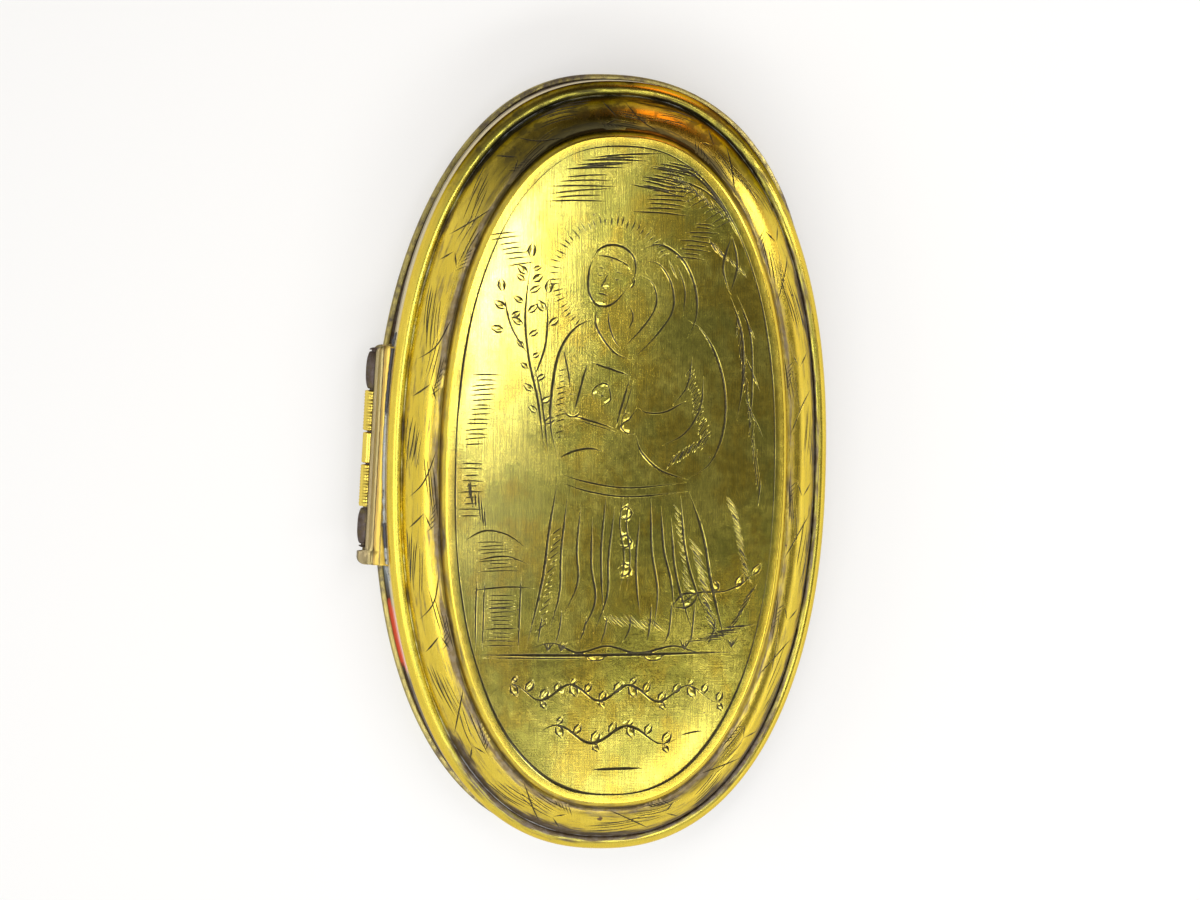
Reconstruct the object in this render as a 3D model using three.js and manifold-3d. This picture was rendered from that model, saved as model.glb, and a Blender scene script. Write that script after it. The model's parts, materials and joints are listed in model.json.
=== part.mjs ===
// Oval brass snuff box with a raised lid, hinged along one long side.
// Millimetres, +Z up. The origin is the centre of the flat underside, the long axis
// runs along Y and the hinge is on the -X side.
import * as THREE from 'three';
import { mergeVertices } from 'three/addons/utils/BufferGeometryUtils.js';
import Module from 'manifold-3d';

const wasm = await Module();
wasm.setup();

// Plan of the lid, which every other outline is offset from.
const lidLength = 103.5;
const lidWidth = 59.5;
const ovalPower = 2.28;
const ovalSteps = 72;

// Base plate and its rim.
const rimOverhang = 0.25;
const rimWidth = 0.7;
const rimHeight = 1.6;
const baseThickness = 1.2;

// Wall of the box and skirt of the lid.
const wallThickness = 0.8;
const skirtThickness = 0.7;
const skirtSetback = 0.25;
const slipClearance = 0.3;
const seatClearance = 0.3;
const wallHeight = 12;
const skirtDepth = 3.75;

// Lid plate: bead, groove, rounded band, step and panel.
const beadWidth = 1.9;
const beadDrop = 0.5;
const beadRise = 1.7;
const grooveDepth = 0.35;
const bandWidth = 4.4;
const bandRise = 5.4;
const stepWidth = 0.9;
const stepRise = 2.3;
const panelCrown = 0.5;
const sheetThickness = 0.8;

// Hinge: tubes on a pin, seated in a hollowed bearer on each half.
const tubeRadius = 1.05;
const tubeBore = 0.6;
const tubeChamfer = 0.15;
const tubeGap = 0.25;
const tubeLengths = [5.0, 5.4, 4.1, 5.6, 4.8];
const tubeStart = 0.9;
const pinRadius = 0.4;
const pinHeadRadius = 0.75;
const pinHeadLength = 0.3;
const hingeStandoff = 1.95;
const hingeLength = 29.5;
const hingeShift = 0.8;
const hingeSkew = THREE.MathUtils.degToRad(-2);
const bearerClearance = 0.3;
const bearerLip = 0.5;
const bearerStep = 0.35;
const stripStart = 1.1;
const partingGap = 0.3;
const flangeDepth = 3.6;
const flangeWidth = 1.2;
const bearerAllowance = 4;

// Heights and insets worked out from the sizes above.
const wallTop = baseThickness + wallHeight;
const lidUnderside = wallTop + seatClearance;
const lidEdgeHeight = lidUnderside + beadDrop;
const skirtBottom = lidUnderside - skirtDepth;
const hingeHeight = skirtBottom - partingGap / 2;
const skirtInner = skirtSetback + skirtThickness;
const wallOuter = skirtInner + slipClearance;
const wallInner = wallOuter + wallThickness;
const grooveHeight = lidEdgeHeight + beadRise - grooveDepth;
const footHeight = grooveHeight + bandRise;
const panelHeight = footHeight + stepRise;
const footInset = beadWidth + bandWidth;
const panelInset = footInset + stepWidth;
const hingeX = -lidWidth / 2 - hingeStandoff;

// Brass is worn bright on the lid, and darker inside the hinge.
const brightBrass = { color: 0xcdb444, roughness: 0.3, metalness: 1 };
const dullBrass = { color: 0xa68f3a, roughness: 0.42, metalness: 1 };
const darkBrass = { color: 0x6b5a34, roughness: 0.5, metalness: 1 };

// Point number step on the lid's outline, moved inwards by inset along its normal.
function ovalPoint(step, inset) {
  const angle = (2 * Math.PI * step) / ovalSteps;
  const halfWidth = lidWidth / 2;
  const halfLength = lidLength / 2;
  const curve = (value) => Math.sign(value) * Math.abs(value) ** (2 / ovalPower);
  const x = curve(Math.cos(angle));
  const y = curve(Math.sin(angle));
  const slope = (value, half) => Math.sign(value) * Math.abs(value) ** (ovalPower - 1) / half;
  const normal = new THREE.Vector2(slope(x, halfWidth), slope(y, halfLength)).normalize();
  return [x * halfWidth - normal.x * inset, y * halfLength - normal.y * inset];
}

// Carries a section round the oval. A section point is [inset, height] or
// [inset, height, share], where share draws its ring in towards the centre and 0 is the centre.
// A section runs outwards below and inwards above, so that the faces point out.
function sweepOval(section, isRing) {
  const positions = [];
  const faces = [];
  const starts = section.map(([inset, height, share = 1]) => {
    const start = positions.length / 3;
    const count = share === 0 ? 1 : ovalSteps;
    for (let step = 0; step < count; step += 1) {
      const [x, y] = ovalPoint(step, inset);
      positions.push(x * share, y * share, height);
    }
    return { start, count };
  });
  const at = (ring, step) => ring.start + (step % ring.count);
  const spans = isRing ? section.length : section.length - 1;
  for (let span = 0; span < spans; span += 1) {
    const lower = starts[span];
    const upper = starts[(span + 1) % section.length];
    for (let step = 0; step < ovalSteps; step += 1) {
      if (lower.count > 1) {
        faces.push(at(lower, step), at(lower, step + 1), at(upper, step));
      }
      if (upper.count > 1) {
        faces.push(at(lower, step + 1), at(upper, step + 1), at(upper, step));
      }
    }
  }
  const geometry = new THREE.BufferGeometry();
  geometry.setAttribute('position', new THREE.Float32BufferAttribute(positions, 3));
  geometry.setIndex(faces);
  return geometry;
}

// A strip bent to the oval, from an outer to an inner inset.
function bentStrip(outer, inner, bottom, top) {
  return sweepOval([[outer, bottom], [outer, top], [inner, top], [inner, bottom]], true);
}

// A flat oval block that cuts a hinge bearer to the curve of the strip it is soldered to.
function ovalBlock(inset, bottom, top) {
  return sweepOval([[0, bottom, 0], [inset, bottom], [inset, top], [0, top, 0]], false);
}

function basePlateGeometry() {
  const lip = rimWidth - rimOverhang;
  const edgeRound = 0.25;
  return sweepOval([
    [0, 0, 0],
    [edgeRound - rimOverhang, 0],
    [-rimOverhang, edgeRound],
    [-rimOverhang, rimHeight - edgeRound],
    [edgeRound - rimOverhang, rimHeight],
    [lip, rimHeight],
    [lip, baseThickness],
    [0, baseThickness, 0],
  ], false);
}

// The raised sheet: section of the upper side from the lid's edge to the panel's centre.
function lidUpperSection() {
  const section = [];
  const beadSteps = 6;
  const halfBead = beadWidth / 2;
  for (let step = 0; step <= beadSteps; step += 1) {
    const angle = (Math.PI * 0.82 * step) / beadSteps;
    const inset = halfBead * (1 - Math.cos(angle));
    section.push([inset, lidEdgeHeight + beadRise * Math.sin(angle)]);
  }
  section.push([beadWidth, grooveHeight]);
  const bandSteps = 6;
  for (let step = 1; step <= bandSteps; step += 1) {
    const angle = (Math.PI / 2) * (step / bandSteps);
    const inset = beadWidth + bandWidth * (1 - Math.cos(angle));
    section.push([inset, grooveHeight + bandRise * Math.sin(angle)]);
  }
  const roundSteps = 3;
  for (let step = 1; step <= roundSteps; step += 1) {
    const angle = (Math.PI / 2) * (step / roundSteps);
    const inset = footInset + stepWidth * (1 - Math.cos(angle));
    section.push([inset, footHeight + stepRise * Math.sin(angle)]);
  }
  section.push([panelInset, panelHeight + panelCrown * 0.5, 0.7]);
  section.push([panelInset, panelHeight + panelCrown * 0.88, 0.35]);
  section.push([0, panelHeight + panelCrown, 0]);
  return section;
}

// The same sheet's lower side, from the centre out to the flat seat under the bead.
function lidLowerSection() {
  const below = panelHeight - sheetThickness;
  const bandBelow = grooveHeight - sheetThickness * 0.6;
  const bandInset = beadWidth + sheetThickness;
  const section = [
    [0, below + panelCrown, 0],
    [panelInset, below + panelCrown * 0.5, 0.7],
    [panelInset + sheetThickness, below],
  ];
  const bandSteps = 4;
  for (let step = bandSteps; step >= 0; step -= 1) {
    const angle = (Math.PI / 2) * (step / bandSteps);
    const inset = bandInset + bandWidth * (1 - Math.cos(angle));
    section.push([inset, bandBelow + bandRise * Math.sin(angle)]);
  }
  section.push([bandInset, lidUnderside], [skirtSetback, lidUnderside]);
  return section;
}

function lidPlateGeometry() {
  return sweepOval([...lidLowerSection(), ...lidUpperSection()], false);
}

// Points on the hollow that seats the tubes, from above the pin down to the parting line.
function hollowPoints(side) {
  const radius = tubeRadius + bearerClearance;
  const points = [];
  const steps = 8;
  const last = Math.asin(partingGap / 2 / radius);
  for (let step = 0; step <= steps; step += 1) {
    const angle = Math.PI / 2 + (last - Math.PI / 2) * (step / steps);
    points.push([radius * Math.cos(angle), side * radius * Math.sin(angle)]);
  }
  return points;
}

// Section of a bearer across the hinge, measured from the pin: side 1 is the lid's, -1 the box's.
// strip is how far the strip behind it lies from the pin at the middle of the hinge.
function bearerSection(side, strip) {
  const lipTop = tubeRadius + bearerClearance + bearerLip;
  const stripTop = lipTop + bearerStep;
  const reach = strip + bearerAllowance;
  const flangeStart = strip - flangeWidth;
  const points = hollowPoints(side);
  points.push([reach, side * partingGap / 2]);
  if (side > 0) {
    points.push([reach, stripTop], [stripStart, stripTop], [stripStart, lipTop], [0, lipTop]);
  } else {
    points.push([reach, -flangeDepth], [flangeStart, -flangeDepth]);
    points.push([flangeStart, -lipTop], [0, -lipTop]);
  }
  return points;
}

// Extrudes a section of [across, height] points along the hinge.
function alongHinge(points, length) {
  const shape = new THREE.Shape(points.map(([across, height]) => new THREE.Vector2(across, height)));
  const geometry = new THREE.ExtrudeGeometry(shape, { depth: length, bevelEnabled: false });
  geometry.rotateX(Math.PI / 2);
  geometry.translate(0, length / 2, 0);
  return geometry;
}

// Turns a geometry built at the pin to the hinge's place on the box.
function toHinge(geometry) {
  geometry.rotateZ(hingeSkew);
  geometry.translate(hingeX, hingeShift, hingeHeight);
  return geometry;
}

function asManifold(geometry) {
  const bare = geometry.index ? geometry.toNonIndexed() : geometry.clone();
  for (const name of Object.keys(bare.attributes)) {
    if (name !== 'position') bare.deleteAttribute(name);
  }
  const merged = mergeVertices(bare, 1e-5);
  const vertProperties = new Float32Array(merged.attributes.position.array);
  const triVerts = new Uint32Array(merged.index.array);
  return new wasm.Manifold(new wasm.Mesh({ numProp: 3, vertProperties, triVerts }));
}

function asGeometry(manifold) {
  const mesh = manifold.getMesh();
  const geometry = new THREE.BufferGeometry();
  geometry.setAttribute('position', new THREE.BufferAttribute(mesh.vertProperties, 3));
  geometry.setIndex(new THREE.BufferAttribute(mesh.triVerts, 1));
  return geometry;
}

// A bearer is cut to the strip behind it and keeps the soldering gap to it. The allowance that
// it is cut from reaches past the strip's curve at both ends of the hinge.
function bearerGeometry(side) {
  const stripInset = side > 0 ? skirtSetback : wallOuter;
  const section = bearerSection(side, hingeStandoff + stripInset);
  const block = toHinge(alongHinge(section, hingeLength));
  const cutter = ovalBlock(stripInset - seatClearance, 0, panelHeight);
  return asGeometry(asManifold(block).subtract(asManifold(cutter)));
}

// Tube number index along the hinge, counted from its +Y end.
function tubeGeometry(index) {
  const length = tubeLengths[index];
  const before = tubeLengths.slice(0, index).reduce((sum, size) => sum + size + tubeGap, tubeStart);
  const top = hingeLength / 2 - before;
  const bottom = top - length;
  const profile = [
    [tubeBore, bottom],
    [tubeRadius - tubeChamfer, bottom],
    [tubeRadius, bottom + tubeChamfer],
    [tubeRadius, top - tubeChamfer],
    [tubeRadius - tubeChamfer, top],
    [tubeBore, top],
    [tubeBore, bottom],
  ];
  const aroundSteps = 20;
  const points = profile.map(([radius, along]) => new THREE.Vector2(radius, along));
  return new THREE.LatheGeometry(points, aroundSteps);
}

// The pin runs through every tube and is peened over just past the end ones.
function pinGeometry() {
  const tubesLength = tubeLengths.reduce((sum, size) => sum + size + tubeGap, -tubeGap);
  const top = hingeLength / 2 - tubeStart + tubeGap;
  const bottom = top - tubesLength - 2 * tubeGap;
  const profile = [
    [0, bottom - pinHeadLength],
    [pinHeadRadius * 0.7, bottom - pinHeadLength],
    [pinHeadRadius, bottom],
    [pinRadius, bottom],
    [pinRadius, top],
    [pinHeadRadius, top],
    [pinHeadRadius * 0.7, top + pinHeadLength],
    [0, top + pinHeadLength],
  ];
  const aroundSteps = 16;
  const points = profile.map(([radius, along]) => new THREE.Vector2(radius, along));
  return new THREE.LatheGeometry(points, aroundSteps);
}

function piece(name, geometry, finish) {
  const mesh = new THREE.Mesh(geometry, new THREE.MeshStandardMaterial(finish));
  mesh.name = name;
  return mesh;
}

const caseGroup = new THREE.Group();
caseGroup.add(piece('base_plate', basePlateGeometry(), dullBrass));
caseGroup.add(piece('body_wall', bentStrip(wallOuter, wallInner, baseThickness, wallTop), dullBrass));
caseGroup.add(piece('body_hinge_plate', bearerGeometry(-1), dullBrass));

const lidGroup = new THREE.Group();
lidGroup.add(piece('lid_plate', lidPlateGeometry(), brightBrass));
lidGroup.add(piece('lid_skirt', bentStrip(skirtSetback, skirtInner, skirtBottom, lidUnderside), brightBrass));
lidGroup.add(piece('lid_hinge_plate', bearerGeometry(1), dullBrass));

// The tubes take turns: the first, third and fifth are the box's, the others the lid's.
const hingeGroup = new THREE.Group();
hingeGroup.rotation.z = hingeSkew;
hingeGroup.position.set(hingeX, hingeShift, hingeHeight);
tubeLengths.forEach((length, index) => {
  const isLid = index % 2 === 1;
  const name = `hinge_tube_${index + 1}_${isLid ? 'lid' : 'body'}`;
  const finish = index === 0 || index === 4 ? darkBrass : brightBrass;
  hingeGroup.add(piece(name, tubeGeometry(index), finish));
});
hingeGroup.add(piece('hinge_pin', pinGeometry(), darkBrass));

const group = new THREE.Group();
group.add(caseGroup, lidGroup, hingeGroup);

export default group;
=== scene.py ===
# %% [markdown]
# An oval brass snuff box, seen from above with its lid shut.
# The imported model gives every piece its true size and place, and this lesson gives each piece its
# looks: the raised and engraved lid, the plain box under it, the small hinge and its solder.
# Its pieces are worked out in millimetres and turned to metres only when a mesh is made. The lamps
# at the end of the lesson are placed in metres, as Blender does.

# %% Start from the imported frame
import json
import math
import random

import bmesh
import bpy
import numpy as np
from mathutils import Matrix, Vector, noise
from mathutils.geometry import delaunay_2d_cdt


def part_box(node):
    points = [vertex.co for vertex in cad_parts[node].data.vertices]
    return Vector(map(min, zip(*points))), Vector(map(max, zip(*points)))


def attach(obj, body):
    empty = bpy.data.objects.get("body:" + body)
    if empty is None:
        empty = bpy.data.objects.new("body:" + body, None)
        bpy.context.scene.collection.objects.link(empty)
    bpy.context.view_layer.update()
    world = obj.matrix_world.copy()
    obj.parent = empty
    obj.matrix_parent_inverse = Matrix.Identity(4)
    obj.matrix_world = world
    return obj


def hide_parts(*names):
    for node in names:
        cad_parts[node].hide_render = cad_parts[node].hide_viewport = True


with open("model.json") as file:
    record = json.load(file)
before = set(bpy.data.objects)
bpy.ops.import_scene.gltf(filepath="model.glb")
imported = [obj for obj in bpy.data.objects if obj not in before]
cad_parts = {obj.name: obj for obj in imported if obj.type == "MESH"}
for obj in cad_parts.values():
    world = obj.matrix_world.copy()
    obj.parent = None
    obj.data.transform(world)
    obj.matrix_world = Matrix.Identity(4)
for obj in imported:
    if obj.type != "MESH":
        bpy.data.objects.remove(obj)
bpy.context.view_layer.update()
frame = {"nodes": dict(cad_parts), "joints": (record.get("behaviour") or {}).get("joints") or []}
MM = 0.001
print("nodes in the frame:", sorted(frame["nodes"]))

# %% [markdown]
# The camera stands far off with a long lens, almost straight above the box, so that its oval stays
# an oval. It leans a little towards the hinge and the top end, which shows the skirt of the lid
# and the rim of the base along those two sides.

# %% Camera
CAMERA_DISTANCE = 1600.0
CAMERA_LEAN_LEFT = 0.130
CAMERA_LEAN_UP = 0.078
CAMERA_ROLL = 0.0225
CAMERA_LENS = 357.1
AIM = Vector((-0.96, 2.08, 14.0))

towards_camera = Vector((-CAMERA_LEAN_LEFT, CAMERA_LEAN_UP, 1.0)).normalized()
picture_up = Vector((-math.sin(CAMERA_ROLL), math.cos(CAMERA_ROLL), 0.0))
camera_right = picture_up.cross(towards_camera).normalized()
camera_up = towards_camera.cross(camera_right)
camera_data = bpy.data.cameras.new("camera")
camera_data.lens = CAMERA_LENS
camera_data.sensor_width = 36.0
camera_data.clip_end = 10.0
camera = bpy.data.objects.new("camera", camera_data)
bpy.context.scene.collection.objects.link(camera)
turn = Matrix((camera_right, camera_up, towards_camera)).transposed()
camera.matrix_world = Matrix.Translation((AIM + towards_camera * CAMERA_DISTANCE) * MM) @ turn.to_4x4()
bpy.context.scene.camera = camera
print("camera stands", round(camera.location.z, 3), "m above the table")

# %% [markdown]
# Every outline of this box is the same oval, moved in or out along its own normal. It is a little
# squarer than an ellipse, which a power slightly above 2 gives. One function returns the point
# and the outward normal at any share of the way round, and all the pieces are built on it.

# %% The oval that every piece follows
def size_of(node):
    low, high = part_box(node)
    return Vector(low) / MM, Vector(high) / MM


lid_low, lid_high = size_of("lid_plate")
skirt_low, skirt_high = size_of("lid_skirt")
wall_low, wall_high = size_of("body_wall")
HALF_WIDTH = (lid_high.x - lid_low.x) / 2
HALF_LENGTH = (lid_high.y - lid_low.y) / 2
OVAL_POWER = 2.28
OUTLINE_STEPS = 1440


def oval(share):
    angle = 2 * np.pi * np.asarray(share)
    across = np.sign(np.cos(angle)) * np.abs(np.cos(angle)) ** (2 / OVAL_POWER)
    along = np.sign(np.sin(angle)) * np.abs(np.sin(angle)) ** (2 / OVAL_POWER)
    normal_x = np.sign(across) * np.abs(across) ** (OVAL_POWER - 1) / HALF_WIDTH
    normal_y = np.sign(along) * np.abs(along) ** (OVAL_POWER - 1) / HALF_LENGTH
    length = np.hypot(normal_x, normal_y)
    points = np.stack([across * HALF_WIDTH, along * HALF_LENGTH], -1)
    normals = np.stack([normal_x / length, normal_y / length], -1)
    return points, normals


outline_shares = np.arange(OUTLINE_STEPS) / OUTLINE_STEPS
outline_points, outline_normals = oval(outline_shares)
outline_tangents = np.stack([-outline_normals[:, 1], outline_normals[:, 0]], -1)
outline_gaps = np.linalg.norm(np.roll(outline_points, -1, 0) - outline_points, axis=1)
outline_run = np.concatenate([[0], np.cumsum(outline_gaps)])
PERIMETER = outline_run[-1]
print("lid is", round(2 * HALF_LENGTH, 1), "by", round(2 * HALF_WIDTH, 1), "mm, round", round(PERIMETER, 1))


def share_at(run):
    """The share of the way round at which the outline has run this far, in millimetres."""
    shares = np.append(outline_shares, 1.0)
    return np.interp(np.mod(run, PERIMETER), outline_run, shares)


def inside_oval(points):
    """Distance inside the lid's edge, outward normal there, and distance run round the edge."""
    depth = np.empty(len(points))
    normal = np.empty((len(points), 2))
    run = np.empty(len(points))
    for start in range(0, len(points), 2000):
        part = points[start:start + 2000]
        near = ((part[:, None, :] - outline_points[None]) ** 2).sum(-1).argmin(1)
        past = ((outline_points[near] - part) * outline_tangents[near]).sum(-1)
        beside = (near + np.where(past < 0, 1, -1)) % OUTLINE_STEPS
        past_beside = ((outline_points[beside] - part) * outline_tangents[beside]).sum(-1)
        change = past - past_beside
        share = np.clip(past / np.where(np.abs(change) < 1e-9, 1e9, change), 0, 1)[:, None]
        foot = outline_points[near] * (1 - share) + outline_points[beside] * share
        out = outline_normals[near] * (1 - share) + outline_normals[beside] * share
        normal[start:start + 2000] = out / np.linalg.norm(out, axis=1)[:, None]
        depth[start:start + 2000] = ((foot - part) * normal[start:start + 2000]).sum(-1)
        run[start:start + 2000] = outline_run[near] + past
    return depth, normal, run


# %% [markdown]
# Hand work is never quite even. A soft noise field, the same for every piece, gives small swells
# in the sheet, which matter because polished brass shows the least dent as a bend in its light.

# %% Small swells in the sheet
def swell(x, y, z, size, seed):
    return noise.noise(Vector((x / size + seed, y / size - seed, z / size)))


def swells(points, size, seed):
    return np.array([swell(x, y, 0.0, size, seed) for x, y in points])


print("swell at the middle of the lid:", round(swell(0, 0, 0, 11.0, 3.1), 3))


# %% [markdown]
# Each piece is made from points and faces, rides on the lid or on the case, and stands in for the
# solid that it replaces. Smooth shading stops at sharp edges, so that a bead looks round and a cut
# edge stays crisp.

# %% Make a piece
def new_piece(name, points_mm, faces, body, slot, replaced=()):
    """Makes the mesh, turns its faces outwards and prints whether its skin is closed."""
    mesh = bpy.data.meshes.new(name)
    mesh.from_pydata([tuple(Vector(p) * MM) for p in points_mm], [], faces)
    skin_mesh = bmesh.new()
    skin_mesh.from_mesh(mesh)
    bmesh.ops.recalc_face_normals(skin_mesh, faces=skin_mesh.faces)
    open_edges = sum(1 for edge in skin_mesh.edges if len(edge.link_faces) != 2)
    volume = skin_mesh.calc_volume(signed=True) / MM ** 3
    skin_mesh.to_mesh(mesh)
    skin_mesh.free()
    piece = bpy.data.objects.new(name, mesh)
    bpy.context.scene.collection.objects.link(piece)
    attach(piece, body)
    if replaced:
        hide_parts(*replaced)
    print(name, len(mesh.polygons), "faces,", open_edges, "open edges,", round(volume, 2), "cubic mm")
    return piece


def smooth(piece, degrees=35.0):
    piece.data.polygons.foreach_set("use_smooth", [True] * len(piece.data.polygons))
    piece.data.set_sharp_from_angle(angle=math.radians(degrees))


# %% [markdown]
# Most pieces here are a section carried round the oval. One helper takes rows of points, a row for
# each stop along the way, and joins them into a closed skin. Another joins rings round a middle
# point to a disc, for the lid and the base.

# %% Skins, discs and strips
def skin(rows, round_and_round):
    """Faces that join equal rows of points; the last row meets the first if round_and_round."""
    count = len(rows[0])
    points = [p for row in rows for p in row]
    faces = []
    stops = len(rows) if round_and_round else len(rows) - 1
    for stop in range(stops):
        after = (stop + 1) % len(rows)
        for span in range(count):
            beside = (span + 1) % count
            faces.append((
                stop * count + span, after * count + span,
                after * count + beside, stop * count + beside,
            ))
    if not round_and_round:
        faces.append(tuple(range(count)))
        faces.append(tuple(len(rows) * count - count + i for i in reversed(range(count))))
    return points, faces


def disc_index(ring, step, steps):
    """Number of a point of a disc; the middle point is 0."""
    return 1 + ring * steps + step % steps


def disc_faces(rings, steps):
    """Faces of a disc whose rings of points lie round one middle point, which comes first."""
    faces = [(0, disc_index(0, step + 1, steps), disc_index(0, step, steps)) for step in range(steps)]
    for ring in range(rings - 1):
        for step in range(steps):
            faces.append((
                disc_index(ring, step, steps), disc_index(ring, step + 1, steps),
                disc_index(ring + 1, step + 1, steps), disc_index(ring + 1, step, steps),
            ))
    return faces


STRIP_STEPS = 360


def ring_piece(name, section, body, slot, replaced, ripple, seed):
    """A section of (inset, height) points carried round the oval, with a slight ripple."""
    points, normals = oval(np.arange(STRIP_STEPS) / STRIP_STEPS)
    rows = []
    for (x, y), (nx, ny) in zip(points, normals):
        shift = ripple * swell(x, y, 0, 9.0, seed)
        rows.append([
            (x - nx * (inset + shift), y - ny * (inset + shift), height) for inset, height in section
        ])
    piece = new_piece(name, *skin(rows, True), body, slot, replaced)
    smooth(piece)
    return piece


# %% [markdown]
# The lid is one raised sheet. Going in from its edge it has a round bead, a dark groove, a band
# that climbs steeply and rounds over, a short step and then the flat panel with a slight crown.
# Writing that as height against distance from the edge keeps every curve smooth, and gives the
# exact surface normal too, which a polished metal needs more than it needs more faces.

# %% Height of the lid at any distance from its edge
BEAD_WIDTH = 1.9
BEAD_DROP = 0.5
BEAD_RISE = 1.7
GROOVE_DEPTH = 0.35
BAND_WIDTH = 4.4
BAND_RISE = 5.4
STEP_WIDTH = 0.9
STEP_RISE = 2.3
PANEL_CROWN = 0.46
CROWN_FADE = 3.0
LID_UNDERSIDE = lid_low.z
EDGE_HEIGHT = LID_UNDERSIDE + BEAD_DROP
GROOVE_HEIGHT = EDGE_HEIGHT + BEAD_RISE - GROOVE_DEPTH
FOOT_HEIGHT = GROOVE_HEIGHT + BAND_RISE
PANEL_HEIGHT = FOOT_HEIGHT + STEP_RISE
FOOT_INSET = BEAD_WIDTH + BAND_WIDTH
PANEL_INSET = FOOT_INSET + STEP_WIDTH
PANEL_HALF_WIDTH = HALF_WIDTH - PANEL_INSET
PANEL_HALF_LENGTH = HALF_LENGTH - PANEL_INSET


def section_height(inset):
    """The band and the step are both a quarter of an ellipse, steep outside and level inside."""
    band_share = np.clip((inset - BEAD_WIDTH) / BAND_WIDTH, 0, 1)
    step_share = np.clip((inset - FOOT_INSET) / STEP_WIDTH, 0, 1)
    band = BAND_RISE * np.sqrt(1 - (1 - band_share) ** 2)
    step = STEP_RISE * np.sqrt(1 - (1 - step_share) ** 2)
    return GROOVE_HEIGHT + band + step


def section_slope(inset):
    """How steeply the section climbs at this distance from the edge."""
    reach = 0.01
    return (section_height(inset + reach) - section_height(inset - reach)) / (2 * reach)


def crown_height(points, inset):
    """The panel swells a little towards its middle."""
    ratio = (points[:, 0] / PANEL_HALF_WIDTH) ** 2 + (points[:, 1] / PANEL_HALF_LENGTH) ** 2
    fade = np.clip((inset - PANEL_INSET) / CROWN_FADE, 0, 1)
    fade = fade * fade * (3 - 2 * fade)
    return PANEL_CROWN * np.clip(1 - ratio, 0, 1) * fade


SWELL_HEIGHT = 0.035
WIDE_SWELL = 11.0
SMALL_SWELL = 4.5


def free_height(points, inset):
    """Crown and hand-made swells together."""
    on_band = np.clip((inset - BEAD_WIDTH) / 0.8, 0, 1)
    uneven = swells(points, WIDE_SWELL, 3.1) + 0.4 * swells(points, SMALL_SWELL, 8.2)
    return crown_height(points, inset) + SWELL_HEIGHT * uneven * on_band


# %% [markdown]
# An engraver pushes a pointed steel tool, which cuts a groove with a V section that starts thin,
# swells and runs out thin again. Each stroke here is a smooth line through a few given
# points, with a width and a depth. All strokes are collected first and cut together.

# %% Strokes of the engraving tool
strokes = []


def curve_through(points, spacing=0.55):
    """A smooth line through the points, with a stop about every spacing millimetres."""
    points = np.array(points, float)
    if len(points) == 2:
        count = max(2, int(np.linalg.norm(points[1] - points[0]) / (2.5 * spacing)) + 2)
        return points[0] + (points[1] - points[0]) * np.linspace(0, 1, count)[:, None]
    padded = np.vstack([2 * points[0] - points[1], points, 2 * points[-1] - points[-2]])
    line = []
    for a, b, c, d in zip(padded, padded[1:], padded[2:], padded[3:]):
        count = max(1, int(round(np.linalg.norm(c - b) / spacing)))
        for t in np.arange(count) / count:
            line.append(0.5 * (2 * b + (c - a) * t + (2 * a - 5 * b + 4 * c - d) * t ** 2
                               + (3 * b - a - 3 * c + d) * t ** 3))
    line.append(points[-1])
    return np.array(line)


PRESSURE = 1.95
RISE_SHARE = 0.22
FALL_SHARE = 0.3


def cut(points, width):
    """Adds one stroke, which starts thin, swells and runs out thin again."""
    line = curve_through(points)
    share = np.linspace(0, 1, len(line))
    rise = np.minimum(1, share / RISE_SHARE)
    fall = np.minimum(1, (1 - share) / FALL_SHARE)
    strokes.append((line, PRESSURE * width / 2 * rise * fall))


chance = random.Random(7)


def shaky(value, amount):
    """The value, a little off, as a hand would place it."""
    return value + chance.uniform(-amount, amount)


# %% [markdown]
# Two tricks do most of the shading in a line engraving. A hatch is a run of near-parallel short
# strokes, and a leaf is two arcs that meet at both ends, with or without a vein.

# %% Hatching and leaves
HATCH_UNEVEN = 0.35
HATCH_BOW = 0.03


def hatch(start, end, count, length, angle, width):
    """count strokes spaced from start to end, each of about this length, at an angle in degrees."""
    for index in range(count):
        share = index / max(1, count - 1)
        x = shaky(start[0] + (end[0] - start[0]) * share, 0.12)
        y = shaky(start[1] + (end[1] - start[1]) * share, 0.08)
        lean = math.radians(shaky(angle, 3.0))
        reach = length * shaky(1.0, HATCH_UNEVEN) / 2
        bow = HATCH_BOW * reach
        dx, dy = math.cos(lean) * reach, math.sin(lean) * reach
        middle = (x - dy * bow / reach, y + dx * bow / reach)
        cut([(x - dx, y - dy), middle, (x + dx, y + dy)], width)


def leaf(root, length, angle, fat, width, vein=False):
    """Two arcs from root to tip, as wide as fat times the length to each side."""
    lean = math.radians(angle)
    ahead = np.array([math.cos(lean), math.sin(lean)])
    aside = np.array([-ahead[1], ahead[0]])
    root = np.array(root, float)
    tip = root + ahead * length
    for side in (1, -1):
        belly = root + ahead * length * 0.45 + aside * side * fat * length
        cut([root, belly, tip], width)
    if vein:
        cut([root + ahead * length * 0.12, tip - ahead * length * 0.2], width * 0.7)


# %% [markdown]
# The round band carries a plain garland, as many such boxes do: feathery groups of long strokes,
# by turns at the outer and the inner side, a long curve across the band and a small V. The pattern
# is drawn once, in distance along the rim and distance from the edge, and repeated by a loop with
# small changes each time.

# %% Garland on the band
GARLAND_REPEATS = 15
FEATHER_SPREAD = 1.7


def on_band(run, inset):
    points, normals = oval(share_at(run))
    return points - normals * inset


def band_cut(places, width):
    cut([on_band(run, inset) for run, inset in places], width)


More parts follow.
